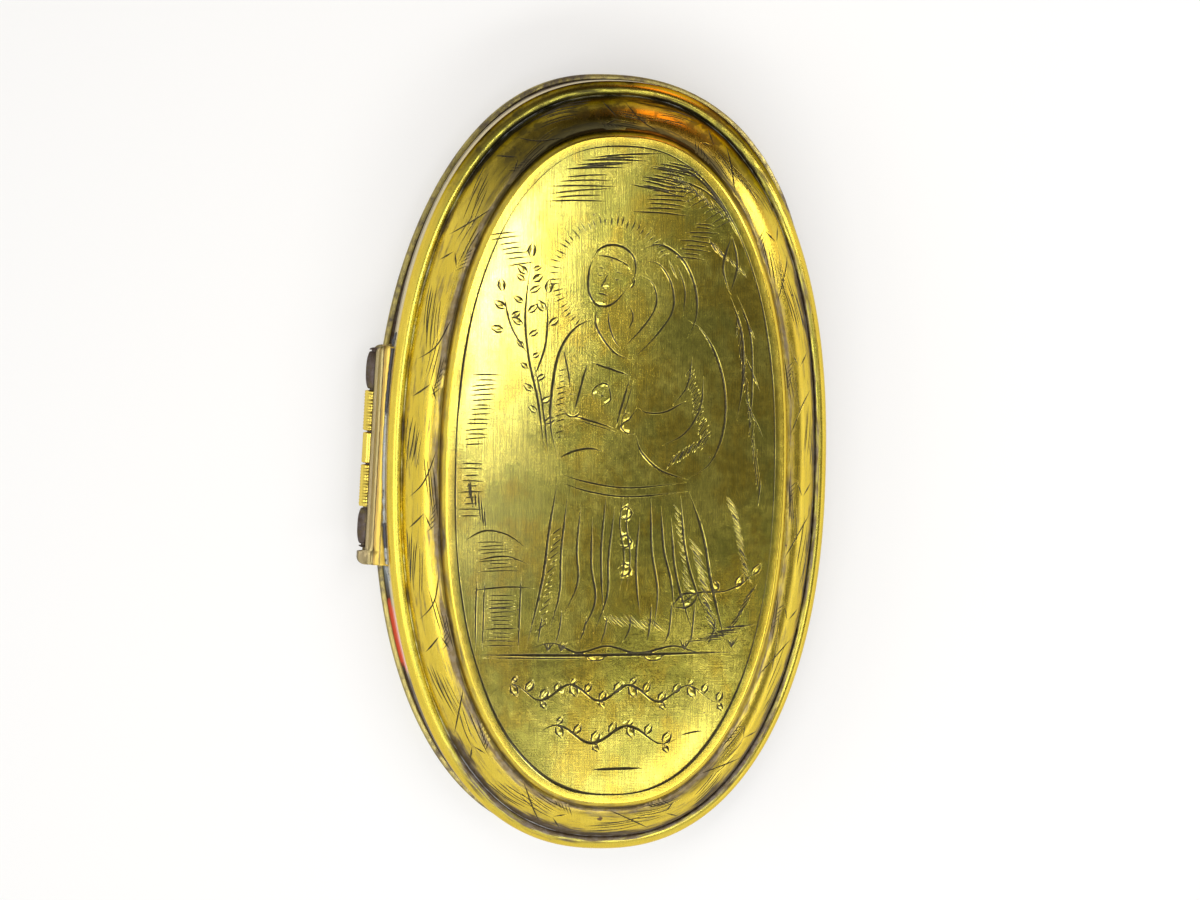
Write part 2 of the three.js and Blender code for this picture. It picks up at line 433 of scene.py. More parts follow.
def feather(begin, length, inset, spread, slant, count):
    """A group of long strokes that lie side by side and slant a little across the band."""
    for index in range(count):
        share = index / (count - 1)
        first = begin + length * shaky(0.30 * share, 0.10)
        last = first + length * shaky(0.72, 0.18)
        near = inset + spread * share
        far = min(FOOT_INSET - 0.2, max(BEAD_WIDTH + 0.25, near + slant))
        bow = chance.uniform(-0.10, 0.14)
        middle = ((first + last) / 2, (near + far) / 2 + bow)
        band_cut([(first, near), middle, (last, far)], shaky(0.075, 0.02))


def garland_repeat(start, length):
    low, high = BEAD_WIDTH + 0.35, FOOT_INSET - 0.25
    lean = chance.choice((-1, 1))
    begin = start + length * shaky(0.02, 0.05)
    feather(begin, length * shaky(0.62, 0.08), low, FEATHER_SPREAD, 0.7 * lean, chance.randint(5, 7))
    begin = start + length * shaky(0.40, 0.06)
    feather(begin, length * shaky(0.56, 0.08), high - 1.8, FEATHER_SPREAD, -0.7 * lean, chance.randint(4, 7))
    middle = (low + high) / 2 + chance.uniform(-0.6, 0.6)
    corner = start + length * shaky(0.80, 0.03)
    band_cut([(corner, middle), (corner + length * 0.12, low + 0.2)], 0.14)
    band_cut([(corner, middle), (corner + length * 0.14, middle + 1.0)], 0.14)
    curve = start + length * shaky(0.62, 0.05)
    band_cut([
        (curve - length * 0.30, high - 0.1), (curve - length * 0.06, middle),
        (curve + length * 0.08, low + 0.1),
    ], 0.12)
    for index in range(5):
        begin = curve + length * (0.08 + 0.04 * index)
        band_cut([(begin, high + 0.1), (begin + length * 0.09, high - 0.8 - 0.2 * index)], 0.09)


repeat_length = PERIMETER / GARLAND_REPEATS
for repeat in range(GARLAND_REPEATS):
    garland_repeat(repeat * repeat_length, repeat_length * shaky(1.0, 0.05))
print("garland strokes:", len(strokes))

# %% [markdown]
# A fine line runs just inside the panel's edge all the way round. Its width and its distance from
# the edge wander a little, as they do when a hand turns the work under the tool.

# %% Border line of the panel
BORDER_INSET = PANEL_INSET + 1.05
BORDER_STOPS = 420
BORDER_OVERLAP = 3


def border_noise(stop, reach, seed):
    """Noise that comes back to where it began after one turn."""
    angle = 2 * math.pi * stop / BORDER_STOPS
    return noise.noise(Vector((reach * math.cos(angle), reach * math.sin(angle), seed)))


border_stops = range(BORDER_STOPS + BORDER_OVERLAP)
border_line = np.array([
    on_band(
        PERIMETER * (stop % BORDER_STOPS) / BORDER_STOPS,
        BORDER_INSET + 0.06 * border_noise(stop, 5.0, 0.5),
    )
    for stop in border_stops
])
border_half = np.array([0.125 + 0.13 * border_noise(stop, 3.4, 7.5) for stop in border_stops])
border_half += np.clip(-border_line[:, 1] - 20.0, 0, 15) * 0.006
strokes.append((border_line, border_half))
print("border line is", round(2 * border_half.min(), 2), "to", round(2 * border_half.max(), 2), "mm wide")

# %% [markdown]
# The picture is a plain standing figure in a hooded robe, with a book in its hands, the sort of
# thing that country engravers drew from habit. The head comes first. Its features are placed by
# the old rule of thumb: eyes halfway down, nose halfway from eyes to chin, mouth a third below.

# %% Picture: head, hair and rays
HEAD = np.array([-1.2, 26.0])
HEAD_HEIGHT = 8.4
HEAD_LEAN = math.radians(-14)


def on_head(across, up):
    """A place on the head, in shares of its height from its centre, turned with its lean."""
    x, y = across * HEAD_HEIGHT, up * HEAD_HEIGHT
    return (HEAD[0] + x * math.cos(HEAD_LEAN) - y * math.sin(HEAD_LEAN),
            HEAD[1] + x * math.sin(HEAD_LEAN) + y * math.cos(HEAD_LEAN))


def head_cut(width, *places):
    cut([on_head(*place) for place in places], width)


face_lines = [
    (0.2, [(-0.34, 0.24), (-0.37, 0.06), (-0.34, -0.14), (-0.27, -0.34), (-0.14, -0.47), (0.0, -0.49),
            (0.14, -0.4), (0.25, -0.22), (0.32, -0.02)]),
    (0.2, [(-0.36, 0.2), (-0.3, 0.38), (-0.12, 0.5), (0.1, 0.5), (0.28, 0.38), (0.36, 0.18),
            (0.33, -0.02)]),
    (0.13, [(-0.33, 0.26), (-0.16, 0.3), (0.04, 0.29), (0.22, 0.24), (0.31, 0.12)]),
    (0.13, [(-0.27, 0.07), (-0.19, 0.105), (-0.1, 0.08)]),
    (0.15, [(-0.26, 0.0), (-0.18, -0.025), (-0.11, 0.0)]),
    (0.13, [(0.01, 0.08), (0.1, 0.105), (0.19, 0.07)]), (0.15, [(0.02, 0.0), (0.1, -0.025), (0.17, 0.0)]),
    (0.12, [(-0.06, 0.07), (-0.08, -0.08), (-0.11, -0.18), (-0.05, -0.215), (0.02, -0.185)]),
    (0.14, [(-0.15, -0.305), (-0.05, -0.295), (0.06, -0.305)]),
    (0.11, [(-0.09, -0.36), (-0.03, -0.37), (0.03, -0.36)]),
    (0.14, [(0.33, 0.08), (0.385, 0.04), (0.36, -0.08), (0.31, -0.1)]),
]
for width, places in face_lines:
    head_cut(width, *places)
for index in range(13):
    across = -0.30 + 0.05 * index
    crown = 0.30 + 0.19 * math.sqrt(max(0.0, 1 - (across / 0.37) ** 2))
    head_cut(0.11, (across, 0.31 - 0.10 * max(0.0, across)), (across - 0.02, crown - 0.04))
for index in range(6):
    head_cut(0.09, (0.10 + 0.03 * index, -0.36 + 0.055 * index), (0.18 + 0.024 * index, -0.20 + 0.04 * index))

RAYS = 38
for index in range(RAYS):
    angle = math.radians(22 + 212 * index / (RAYS - 1) + chance.uniform(-1, 1))
    near, far = shaky(6.6, 0.25), shaky(8.5, 0.35)
    ray = np.array([math.cos(angle), math.sin(angle)])
    cut([HEAD + ray * near, HEAD + ray * far], 0.13)
print("strokes with the head:", len(strokes))

# %% [markdown]
# Clothes, book and plants are lists of lines. Each line has a width and some places, in
# millimetres from the middle of the lid. The hood falls round the neck, and wide sleeves reach
# down to the hands.

# %% Picture: hood and sleeves
def cut_all(lines):
    for width, places in lines:
        cut(places, width)


hood_lines = [
    (0.22, [(2.6, 29.6), (5.4, 30.4), (8.4, 28.4), (10.2, 24.6), (10.4, 20.8), (9.2, 17.8)]),
    (0.18, [(2.9, 28.2), (5.2, 27.8), (7.0, 25.0), (7.2, 21.6), (5.0, 18.2), (1.8, 14.9)]),
    (0.16, [(2.6, 26.4), (4.4, 25.2), (5.0, 22.6), (3.6, 19.8), (0.4, 16.2)]),
    (0.13, [(7.6, 27.8), (8.8, 24.4), (8.6, 20.8)]), (0.13, [(6.4, 28.6), (7.8, 25.6)]),
    (0.2, [(-2.9, 21.9), (-3.2, 20.0), (-2.2, 17.8), (-0.4, 15.8), (1.8, 14.9)]),
    (0.15, [(-1.5, 21.5), (-1.3, 19.6), (-0.6, 17.6), (0.4, 16.2)]),
    (0.13, [(1.4, 22.2), (1.9, 20.6), (1.2, 18.8)]),
]
sleeve_lines = [
    (0.23, [(-3.1, 20.4), (-5.8, 19.2), (-7.9, 16.0), (-8.8, 11.0), (-8.9, 6.0), (-7.8, 1.6)]),
    (0.23, [(9.2, 20.4), (11.2, 19.0), (13.2, 15.6), (14.5, 10.8), (14.4, 5.6), (12.7, 1.2), (9.6, -1.0)]),
    (0.17, [(11.6, 13.0), (11.2, 8.6), (9.2, 5.2), (6.0, 3.4)]),
    (0.15, [(10.0, 15.6), (9.4, 11.6), (7.4, 8.8)]),
    (0.2, [(9.6, -1.0), (6.0, 0.2), (3.4, 2.6), (2.6, 5.0)]),
    (0.17, [(9.4, 9.6), (6.4, 8.0), (4.0, 7.9), (2.7, 8.6)]),
    (0.14, [(2.6, 5.0), (1.2, 5.2), (0.5, 6.2), (1.6, 6.9), (2.7, 8.6)]), (0.11, [(0.7, 6.9), (1.8, 7.3)]),
    (0.11, [(0.5, 7.6), (1.9, 7.9)]), (0.14, [(-7.4, 8.2), (-6.3, 7.2), (-5.2, 7.5), (-5.0, 8.4)]),
    (0.11, [(-6.9, 9.4), (-5.6, 9.3)]), (0.11, [(-7.0, 10.3), (-5.5, 10.2)]),
]
cut_all(hood_lines)
cut_all(sleeve_lines)
print("strokes with the sleeves:", len(strokes))

# %% [markdown]
# The book is four straight cuts, with a second line along two of its sides for the pages and a
# small ornament on its cover. Two more lines close the arm that carries it.

# %% Picture: book and arm
book_lines = [
    (0.19, [(-5.9, 7.4), (-0.2, 5.7)]), (0.19, [(-0.2, 5.7), (1.7, 12.8)]),
    (0.19, [(1.7, 12.8), (-4.1, 14.7)]), (0.19, [(-4.1, 14.7), (-5.9, 7.4)]),
    (0.1, [(-5.6, 6.9), (0.1, 5.2)]), (0.1, [(0.3, 5.4), (2.2, 12.4)]),
    (0.12, [(-2.6, 8.4), (-0.9, 9.6), (-1.6, 11.8), (-3.4, 10.7), (-2.6, 8.4)]),
    (0.1, [(-2.4, 9.3), (-1.8, 10.9)]), (0.1, [(-2.8, 10.4), (-1.4, 9.8)]),
]
arm_lines = [
    (0.2, [(-7.8, 1.6), (-5.8, 2.6), (-3.6, 3.0), (-1.6, 2.6)]),
    (0.15, [(-7.4, 16.4), (-6.6, 12.8), (-6.4, 10.8)]),
]
cut_all(book_lines)
cut_all(arm_lines)
print("strokes with the book:", len(strokes))

# %% [markdown]
# A twisted cord is the belt: two lines with short slanting cuts between them, and two hanging ends
# with knots. The robe widens from it to a wavy hem, with the toes just showing.

# %% Picture: belt and hem
belt_lines = [
    (0.17, [(-7.7, -0.4), (-3.4, -1.6), (2.0, -2.2), (9.8, -1.4)]),
    (0.17, [(-7.7, -1.5), (-3.4, -2.8), (2.0, -3.4), (9.9, -2.6)]),
    (0.15, [(1.2, -3.2), (0.7, -7.0), (1.4, -11.6), (0.9, -16.2)]),
    (0.15, [(2.0, -3.2), (1.6, -7.0), (2.2, -11.6), (1.8, -16.2)]),
]
hem_lines = [
    (0.24, [(-7.8, -1.4), (-8.8, -8.0), (-9.6, -15.0), (-11.6, -24.2)]),
    (0.24, [(9.9, -2.4), (12.0, -8.6), (13.4, -15.6), (15.6, -23.8)]),
    (0.2, [(-11.6, -24.2), (-8.0, -23.2), (-4.6, -24.4), (-0.6, -23.5), (3.6, -24.4), (8.4, -23.4),
            (12.0, -24.3), (15.6, -23.8)]),
    (0.12, [(-3.4, -24.3), (-2.9, -25.4), (-1.2, -25.3), (-0.6, -23.8)]),
    (0.12, [(4.2, -24.3), (4.8, -25.3), (6.6, -25.2), (7.0, -23.9)]),
]
cut_all(belt_lines)
cut_all(hem_lines)
for knot in (-5.6, -9.4, -13.2):
    cut([(0.5, knot), (1.4, knot + 0.9), (2.4, knot), (1.4, knot - 0.9), (0.5, knot)], 0.14)
for index in range(24):
    x = -7.2 + 0.70 * index
    y = -1.1 - 1.3 * math.sin(math.pi * (index + 1.5) / 27)
    cut([(x, y - 0.45), (x + 0.45, y + 0.45)], 0.10)
print("strokes with the hem:", len(strokes))

# %% [markdown]
# Folds hang from the belt and spread towards the ground. Each is given by its place across at the
# belt, halfway and at the foot, and ends at a slightly different height. Hatching then darkens
# the sides of the robe and the inside of the sleeves.

# %% Picture: folds and shading
FOLDS = [
    (-6.4, -7.2, -8.6), (-4.6, -4.8, -6.6), (-3.0, -2.4, -4.6), (-1.2, -1.6, -1.2), (0.0, -0.8, -2.6),
    (3.4, 3.2, 3.8), (4.8, 6.0, 5.6), (6.2, 7.8, 8.4), (7.6, 9.4, 11.2), (8.8, 10.8, 13.0),
]
for index, (top, middle, foot) in enumerate(FOLDS):
    start = -3.0 - 1.5 * (index % 3)
    end = -22.6 + 2.6 * (index % 2) + chance.uniform(0, 1.2)
    cut([
        (top, start), ((top + middle) / 2 - 0.3, start * 0.6 + end * 0.4),
        (middle, start * 0.3 + end * 0.7), (foot, end),
    ], 0.21)
for index in range(9):
    x = shaky(-9.4 + 2.9 * index, 0.4)
    cut([(x, shaky(-18.4, 1.2)), (x - 0.3, -21.4), (x - shaky(0.9, 0.4), shaky(-23.4, 0.3))], 0.16)
hatch((11.0, -10.0), (13.6, -21.0), 22, 2.6, -48, 0.11)
hatch((8.4, -5.0), (10.2, -17.0), 18, 1.8, -50, 0.10)
hatch((-7.6, -8.0), (-9.4, -21.0), 16, 1.8, 40, 0.10)
hatch((12.2, 4.0), (9.6, 13.4), 20, 2.2, 58, 0.10)
hatch((7.4, 1.4), (11.8, 4.2), 12, 2.0, 64, 0.11)
hatch((-7.6, 4.4), (-7.6, 13.4), 13, 1.5, 20, 0.10)
hatch((-0.6, -20.0), (6.0, -20.6), 12, 2.4, -42, 0.11)
print("strokes with the robe:", len(strokes))

# %% [markdown]
# On one side a leafy branch fills the space. Leaves stand by turns at the left and the right of
# the main stem, and in small groups on the twigs.

# %% Picture: branch
branch = [(-9.6, 2.0), (-10.6, 9.0), (-12.0, 15.0), (-12.6, 21.0), (-12.0, 28.2)]
cut(branch, 0.20)
cut([(x + 0.5, y) for x, y in branch[:3]], 0.15)
cut([(-12.1, 15.4), (-14.4, 19.0), (-15.6, 23.6)], 0.17)
cut([(-11.4, 12.0), (-9.8, 17.0), (-9.6, 23.4)], 0.17)
stem = curve_through(branch, 1.5)
for index in range(3, len(stem) - 1):
    side = 1 if index % 2 else -1
    lean = 90 - side * shaky(58, 10)
    leaf(stem[index] + np.array([side * 0.3, 0]), shaky(1.7, 0.3), lean, 0.2, 0.13)
twig_leaves = [
    (-15.7, 23.8, 100), (-15.2, 21.6, 150), (-14.6, 20.4, 30), (-15.4, 18.6, 165), (-9.6, 23.6, 86),
    (-9.8, 21.2, 130), (-9.4, 19.4, 40), (-12.0, 28.4, 84), (-12.4, 26.2, 140), (-11.8, 25.2, 35),
]
for x, y, lean in twig_leaves:
    leaf((x, y), shaky(1.9, 0.3), lean, 0.24, 0.15)
print("strokes with the branch:", len(strokes))

# %% [markdown]
# Level hatching stands for the sky. On the other side a tree trunk with a few branches is hatched
# twice across where its crown is darkest.

# %% Picture: sky and tree
hatch((-13.4, 27.6), (-15.8, 31.6), 7, 3.6, 8, 0.11)
hatch((-17.6, 12.6), (-19.0, 3.4), 15, 3.6, 3, 0.11)
hatch((-19.2, 0.8), (-19.4, -6.2), 10, 3.0, 2, 0.11)
hatch((-6.0, 36.0), (-4.6, 39.4), 6, 7.4, 3, 0.13)
hatch((-3.6, 40.4), (0.6, 42.2), 6, 8.0, 3, 0.17)
hatch((5.4, 34.6), (7.4, 38.0), 7, 7.0, -4, 0.14)
hatch((9.4, 28.6), (11.4, 33.2), 9, 4.2, -3, 0.12)
hatch((4.6, 37.6), (8.2, 41.0), 11, 5.8, -12, 0.15)
tree_lines = [
    (0.2, [(5.4, 41.4), (9.6, 39.8), (13.0, 36.4), (15.8, 31.6)]),
    (0.15, [(7.0, 39.4), (11.6, 37.4), (15.2, 33.4)]), (0.2, [(15.0, 31.8), (13.9, 27.6), (14.9, 23.8)]),
    (0.2, [(15.0, 31.8), (15.8, 27.8), (14.9, 23.8)]),
    (0.22, [(14.9, 23.8), (16.6, 18.6), (16.9, 12.6), (16.2, 6.8)]),
    (0.18, [(15.8, 24.0), (17.8, 18.4), (18.2, 11.0), (17.8, 4.6)]), (0.13, [(16.4, 22.0), (18.6, 17.6)]),
    (0.13, [(17.0, 16.0), (19.4, 10.6)]), (0.13, [(17.2, 10.0), (20.0, 4.4)]),
]
cut_all(tree_lines)
hatch((6.0, 40.4), (13.6, 34.6), 15, 3.0, -58, 0.085)
hatch((6.4, 39.6), (14.0, 33.4), 12, 3.0, 28, 0.085)
hatch((12.4, 30.4), (16.8, 26.6), 12, 2.2, -60, 0.11)
hatch((16.0, 20.0), (19.6, -3.0), 26, 3.0, 84, 0.10)
hatch((15.8, -4.0), (18.0, -14.0), 18, 2.6, -52, 0.11)
print("strokes with the tree:", len(strokes))

# %% [markdown]
# The ground is a strong line with hills and a fence behind it on one side, a spray of leaves on
# the other, and tufts of grass along it.

# %% Picture: ground
ground_lines = [
    (0.28, [(-19.2, -24.9), (-6.0, -24.8), (6.0, -24.5), (18.2, -24.1)]),
    (0.13, [(-17.6, -25.3), (-2.0, -25.2)]),
    (0.16, [(-20.2, -9.6), (-17.4, -8.2), (-14.2, -8.8), (-11.4, -10.8)]),
    (0.13, [(-18.6, -12.2), (-14.6, -11.6), (-11.0, -12.8)]),
    (0.15, [(-18.8, -16.2), (-14.0, -15.7), (-10.4, -15.9)]),
    (0.17, [(-18.3, -14.2), (-18.4, -19.0), (-18.3, -24.6)]), (0.15, [(-17.3, -14.6), (-17.4, -24.6)]),
    (0.17, [(-12.4, -14.0), (-12.6, -24.6)]), (0.13, [(-17.0, -18.6), (-12.8, -18.3)]),
    (0.13, [(-17.0, -21.4), (-12.8, -21.2)]),
    (0.15, [(9.4, -17.6), (11.6, -16.2), (15.0, -16.0), (17.8, -14.6), (19.6, -12.6)]),
]
cut_all(ground_lines)
hatch((-15.0, -17.0), (-15.0, -23.6), 13, 4.0, 1, 0.11)
hatch((-16.6, -9.8), (-15.0, -13.6), 9, 5.0, 4, 0.10)
hatch((-19.6, -2.6), (-17.4, -6.4), 6, 3.4, 96, 0.15)
hatch((12.6, -22.6), (17.4, -20.6), 9, 4.6, 5, 0.12)
hatch((16.4, -20.4), (18.8, -16.0), 10, 2.8, 52, 0.12)
leaf((11.6, -16.4), 4.2, 206, 0.22, 0.19, vein=True)
leaf((14.2, -16.0), 1.8, 118, 0.28, 0.17)
leaf((16.6, -15.4), 2.0, 60, 0.26, 0.17)
leaf((18.6, -13.8), 2.2, 48, 0.2, 0.15)
for index in range(5):
    cut([(12.6 + 0.22 * index, -19.0 + 0.18 * index), (13.2 + 0.2 * index, -17.9 + 0.16 * index)], 0.26)
for x, y in [(-8.6, -24.4), (-6.8, -24.4), (9.8, -24.0), (16.2, -23.6)]:
    for lean in (-0.7, -0.2, 0.4, 0.9):
        cut([(x, y), (x + lean * 0.5, y + 0.9), (x + lean, y + shaky(1.5, 0.3))], 0.12)
print("strokes with the ground:", len(strokes))

# %% [markdown]
# Below the ground line two plain leafy scrolls and a short dash close the picture.

# %% Scrolls under the picture
def scroll(left, right, middle, height, waves, width):
    """A wavy stem with a leaf at every crossing and crest, and a second one at every other."""
    xs = np.linspace(left, right, waves * 8 + 1)
    wave = np.sin((xs - left) / (right - left) * waves * 2 * math.pi)
    line = list(zip(xs, middle + height * wave))
    cut(line, width)
    for index in range(1, waves * 4):
        x, y = line[index * 2]
        upward = 1 if wave[index * 2] <= 0.01 else -1
        leaf((x, y), shaky(1.9, 0.3), shaky(62 * upward, 6), 0.26, 0.16)
        if index % 2:
            leaf((x, y), shaky(1.4, 0.2), shaky(-50 * upward, 6), 0.26, 0.14)


scroll(left=-15.4, right=16.4, middle=-29.8, height=1.1, waves=4, width=0.20)
scroll(left=-9.6, right=9.6, middle=-35.4, height=1.2, waves=2, width=0.24)
cut([(9.6, -35.4), (11.2, -35.0), (12.6, -34.8)], 0.16)
cut([(-2.4, -40.2), (1.2, -40.0), (4.8, -39.9)], 0.26)
print("strokes in all:", len(strokes))

# %% [markdown]
# To cut the strokes, the lid is first drawn flat: rings where its section bends, a loose grid on
# the panel, and three lines for every stroke, its two edges and its bottom. A constrained
# triangulation joins all of these into one net, and then each point of the net gets its height.
# Every groove is real geometry in a single closed surface, with no leftover faces.

# %% Draw the net of the lid
STEPS_ROUND = 360
GRID = 0.9
band_insets = [BEAD_WIDTH + BAND_WIDTH * (1 - math.cos(a)) for a in np.linspace(0, math.pi / 2, 16)]
step_insets = [FOOT_INSET + STEP_WIDTH * (1 - math.cos(a)) for a in np.linspace(0, math.pi / 2, 10)[1:]]
flat_insets = [PANEL_INSET + extra for extra in (0.3, 0.7, 1.4)]
ring_insets = band_insets + step_insets + flat_insets


def ring_at(inset):
    points, normals = oval(np.arange(STEPS_ROUND) / STEPS_ROUND)
    return points - normals * inset


def stroke_lanes(line, half):
    """The bottom line of a stroke and its two edges; the edges stop short of the pointed ends."""
    ahead = np.gradient(line, axis=0)
    ahead /= np.maximum(1e-9, np.linalg.norm(ahead, axis=1))[:, None]
    aside = np.stack([-ahead[:, 1], ahead[:, 0]], 1) * half[:, None]
    return line, line[1:-1] + aside[1:-1], line[1:-1] - aside[1:-1]


def draw_net():
    """Rings first, then the loose grid of the panel, then three lines for each stroke."""
    points, edges = [], []
    for inset in ring_insets:
        first = len(points)
        points.extend(ring_at(inset))
        edges.extend((first + i, first + (i + 1) % STEPS_ROUND) for i in range(STEPS_ROUND))
    xs = np.arange(-HALF_WIDTH, HALF_WIDTH, GRID)
    ys = np.arange(-HALF_LENGTH, HALF_LENGTH, GRID)
    grid = np.array([(x + (row % 2) * GRID / 2, y) for row, y in enumerate(ys) for x in xs])
    inset, _, _ = inside_oval(grid)
    points.extend(grid[inset > flat_insets[-1] + 0.4])
    for line, half in strokes:
        bottom, left, right = stroke_lanes(line, half)
        first = len(points)
        last = first + len(bottom) - 1
        points.extend(bottom)
        edges.extend((i, i + 1) for i in range(first, last))
        for lane in (left, right):
            start = len(points)
            points.extend(lane)
            route = [first, *range(start, start + len(lane)), last]
            edges.extend(zip(route, route[1:]))
    return points, edges


net_points, net_edges = draw_net()
net = delaunay_2d_cdt([Vector(p) for p in net_points], net_edges, [], 0, 1e-5, True)
flat_points = np.array([(p.x, p.y) for p in net[0]])
flat_faces = [tuple(face) for face in net[2]]
net_point_of = {
    first: index for index, origins in enumerate(net[3]) for first in origins if first < STEPS_ROUND
}
print("net:", len(flat_points), "points and", len(flat_faces), "triangles for", len(strokes), "strokes")

# %% [markdown]
# A point of the net is lowered by how near it is to the bottom of a stroke. Strokes are sorted
# into small squares first, so that each point only looks at the few strokes around it.

# %% Depth of the grooves
GROOVE_SLOPE = 0.7
FULL_DEPTH = 0.05


def sort_into_squares():
    """Pieces of stroke by the square millimetres that they touch."""
    squares = {}
    for line, half in strokes:
        for a, b, wide_a, wide_b in zip(line, line[1:], half, half[1:]):
            reach = max(wide_a, wide_b)
            low = np.floor(np.minimum(a, b) - reach).astype(int)
            high = np.floor(np.maximum(a, b) + reach).astype(int)
            for column in range(low[0], high[0] + 1):
                for row in range(low[1], high[1] + 1):
                    squares.setdefault((column, row), []).append((*a, *b, wide_a, wide_b))
    return squares


def groove_depth(points):
    """For each point the depth of its groove in millimetres."""
    depth = np.zeros(len(points))
    cells = np.floor(points).astype(int)
    order = np.lexsort((cells[:, 1], cells[:, 0]))
    squares = sort_into_squares()
    breaks = np.flatnonzero(np.any(np.diff(cells[order], axis=0) != 0, axis=1)) + 1
    for group in np.split(order, breaks):
        nearby = squares.get(tuple(cells[group[0]]))
        if not nearby:
            continue
        part = np.array(nearby)
        start, run = part[:, 0:2], part[:, 2:4] - part[:, 0:2]
        offset = points[group][:, None, :] - start[None]
        along = np.clip((offset * run).sum(-1) / np.maximum(1e-12, (run * run).sum(-1)), 0, 1)
        gap = np.linalg.norm(offset - along[..., None] * run[None], axis=-1)
        half = part[:, 4] + (part[:, 5] - part[:, 4]) * along
        depth[group] = np.maximum(0, half - gap).max(1) * GROOVE_SLOPE
    return depth


net_depth = groove_depth(flat_points)
net_share = np.clip(net_depth / FULL_DEPTH, 0, 1)
net_inset, net_normal, net_run = inside_oval(flat_points)
print("deepest groove:", round(net_depth.max(), 3), "mm")

# %% [markdown]
# Now the sheet is closed. The underside and the outer bead are a plain section carried round the
# oval, and the engraved net is sewn to the bead at the bottom of the groove between them.

# %% Lid plate
SHEET = 0.8
BEAD_PLACES = [
    (0.00, 0.00), (0.01, 0.22), (0.04, 0.42), (0.10, 0.66), (0.18, 0.88), (0.29, 1.09), (0.43, 1.28),
    (0.60, 1.44), (0.79, 1.56), (0.98, 1.63), (1.16, 1.66), (1.33, 1.65), (1.48, 1.63), (1.61, 1.59),
    (1.71, 1.51), (1.79, 1.38),
]


def bead_section():
    """Round outside and flatter inside, with a narrow groove where it meets the band."""
    return [(inset, EDGE_HEIGHT + rise) for inset, rise in BEAD_PLACES]


def underside_section():
    """The underside follows the top at about the thickness of the sheet."""
    below = PANEL_HEIGHT - SHEET
    section = [(PANEL_INSET + SHEET, below), (PANEL_INSET + SHEET - 0.3, below - 0.3)]
    for angle in np.linspace(math.pi / 2, 0, 8):
        inset = BEAD_WIDTH + SHEET + BAND_WIDTH * (1 - math.cos(angle))
        section.append((inset, GROOVE_HEIGHT - 0.6 * SHEET + BAND_RISE * math.sin(angle)))
    section.append((BEAD_WIDTH + SHEET, LID_UNDERSIDE))
    section.append((0.35, LID_UNDERSIDE))
    section.append((0.1, LID_UNDERSIDE + 0.18))
    return section


def lid_plate():
    below = PANEL_HEIGHT - SHEET
    inner = ring_at(PANEL_INSET + SHEET)
    rows = []
    for share in (0.33, 0.66):
        height = below + PANEL_CROWN * (1 - share ** 2) * 0.8
        rows.append([(x * share, y * share, height) for x, y in inner])
    for inset, height in underside_section() + bead_section():
        rows.append([(x, y, height) for x, y in ring_at(inset)])
    points = [(0, 0, below + PANEL_CROWN * 0.8)]
    for row in rows:
        points.extend(row)
    faces = disc_faces(len(rows), STEPS_ROUND)
    top_start = len(points)
    heights = section_height(net_inset) + free_height(flat_points, net_inset) - net_depth
    points.extend((x, y, z) for (x, y), z in zip(flat_points, heights))
    last = len(rows) - 1
    for step in range(STEPS_ROUND):
        here, after = (top_start + net_point_of[k % STEPS_ROUND] for k in (step, step + 1))
        faces.append((
            disc_index(last, step, STEPS_ROUND), disc_index(last, step + 1, STEPS_ROUND), after, here,
        ))
    faces.extend(tuple(top_start + i for i in face) for face in flat_faces)
    return points, faces, top_start


lid_points, lid_faces, engraved_start = lid_plate()
lid = new_piece("engraved_lid", lid_points, lid_faces, "lid", "lid_brass", ["lid_plate"])
smooth(lid, 40)


# %% [markdown]
# Last, the light. Polished metal shows the direction of its surface and not its faces, so the net
# gets the true normal of the smooth lid, and only the faces inside a groove keep their own.

# %% Shading of the lid
def true_normals():
    """Normals of the smooth lid, from the slope of its section and of its crown and swells."""
    slope = np.clip(section_slope(net_inset), 0, 40)
    reach = 0.05
    side, ahead = np.array([reach, 0]), np.array([0, reach])
    across = free_height(flat_points + side, net_inset) - free_height(flat_points - side, net_inset)
    along = free_height(flat_points + ahead, net_inset) - free_height(flat_points - ahead, net_inset)
    normals = np.stack([
        slope * net_normal[:, 0] - across / (2 * reach),
        slope * net_normal[:, 1] - along / (2 * reach),
        np.ones(len(slope)),
    ], 1)
    return normals / np.linalg.norm(normals, axis=1)[:, None]


def set_lid_normals():
    mesh = lid.data
    count = len(mesh.loops)
    normals = np.zeros(count * 3, np.float32)
    mesh.corner_normals.foreach_get("vector", normals)
    normals = normals.reshape(-1, 3)
    corner_points = np.zeros(count, int)
    mesh.loops.foreach_get("vertex_index", corner_points)
    face_of_corner = np.repeat(np.arange(len(mesh.polygons)), [p.loop_total for p in mesh.polygons])
    deep = np.zeros(len(mesh.vertices))
    deep[engraved_start:] = net_depth
    face_deep = np.zeros(len(mesh.polygons))
    np.maximum.at(face_deep, face_of_corner, deep[corner_points])
    engraved = corner_points >= engraved_start
    whole = np.minimum.reduceat(engraved.astype(int), [p.loop_start for p in mesh.polygons]) > 0
    smooth_corner = engraved & whole[face_of_corner] & (face_deep[face_of_corner] < 0.002)
    normals[smooth_corner] = true_normals()[corner_points[smooth_corner] - engraved_start]
    mesh.normals_split_custom_set(normals)


def set_attribute(piece, name, values):
    attribute = piece.data.attributes.new(name, "FLOAT", "POINT")
    attribute.data.foreach_set("value", np.asarray(values, np.float32))


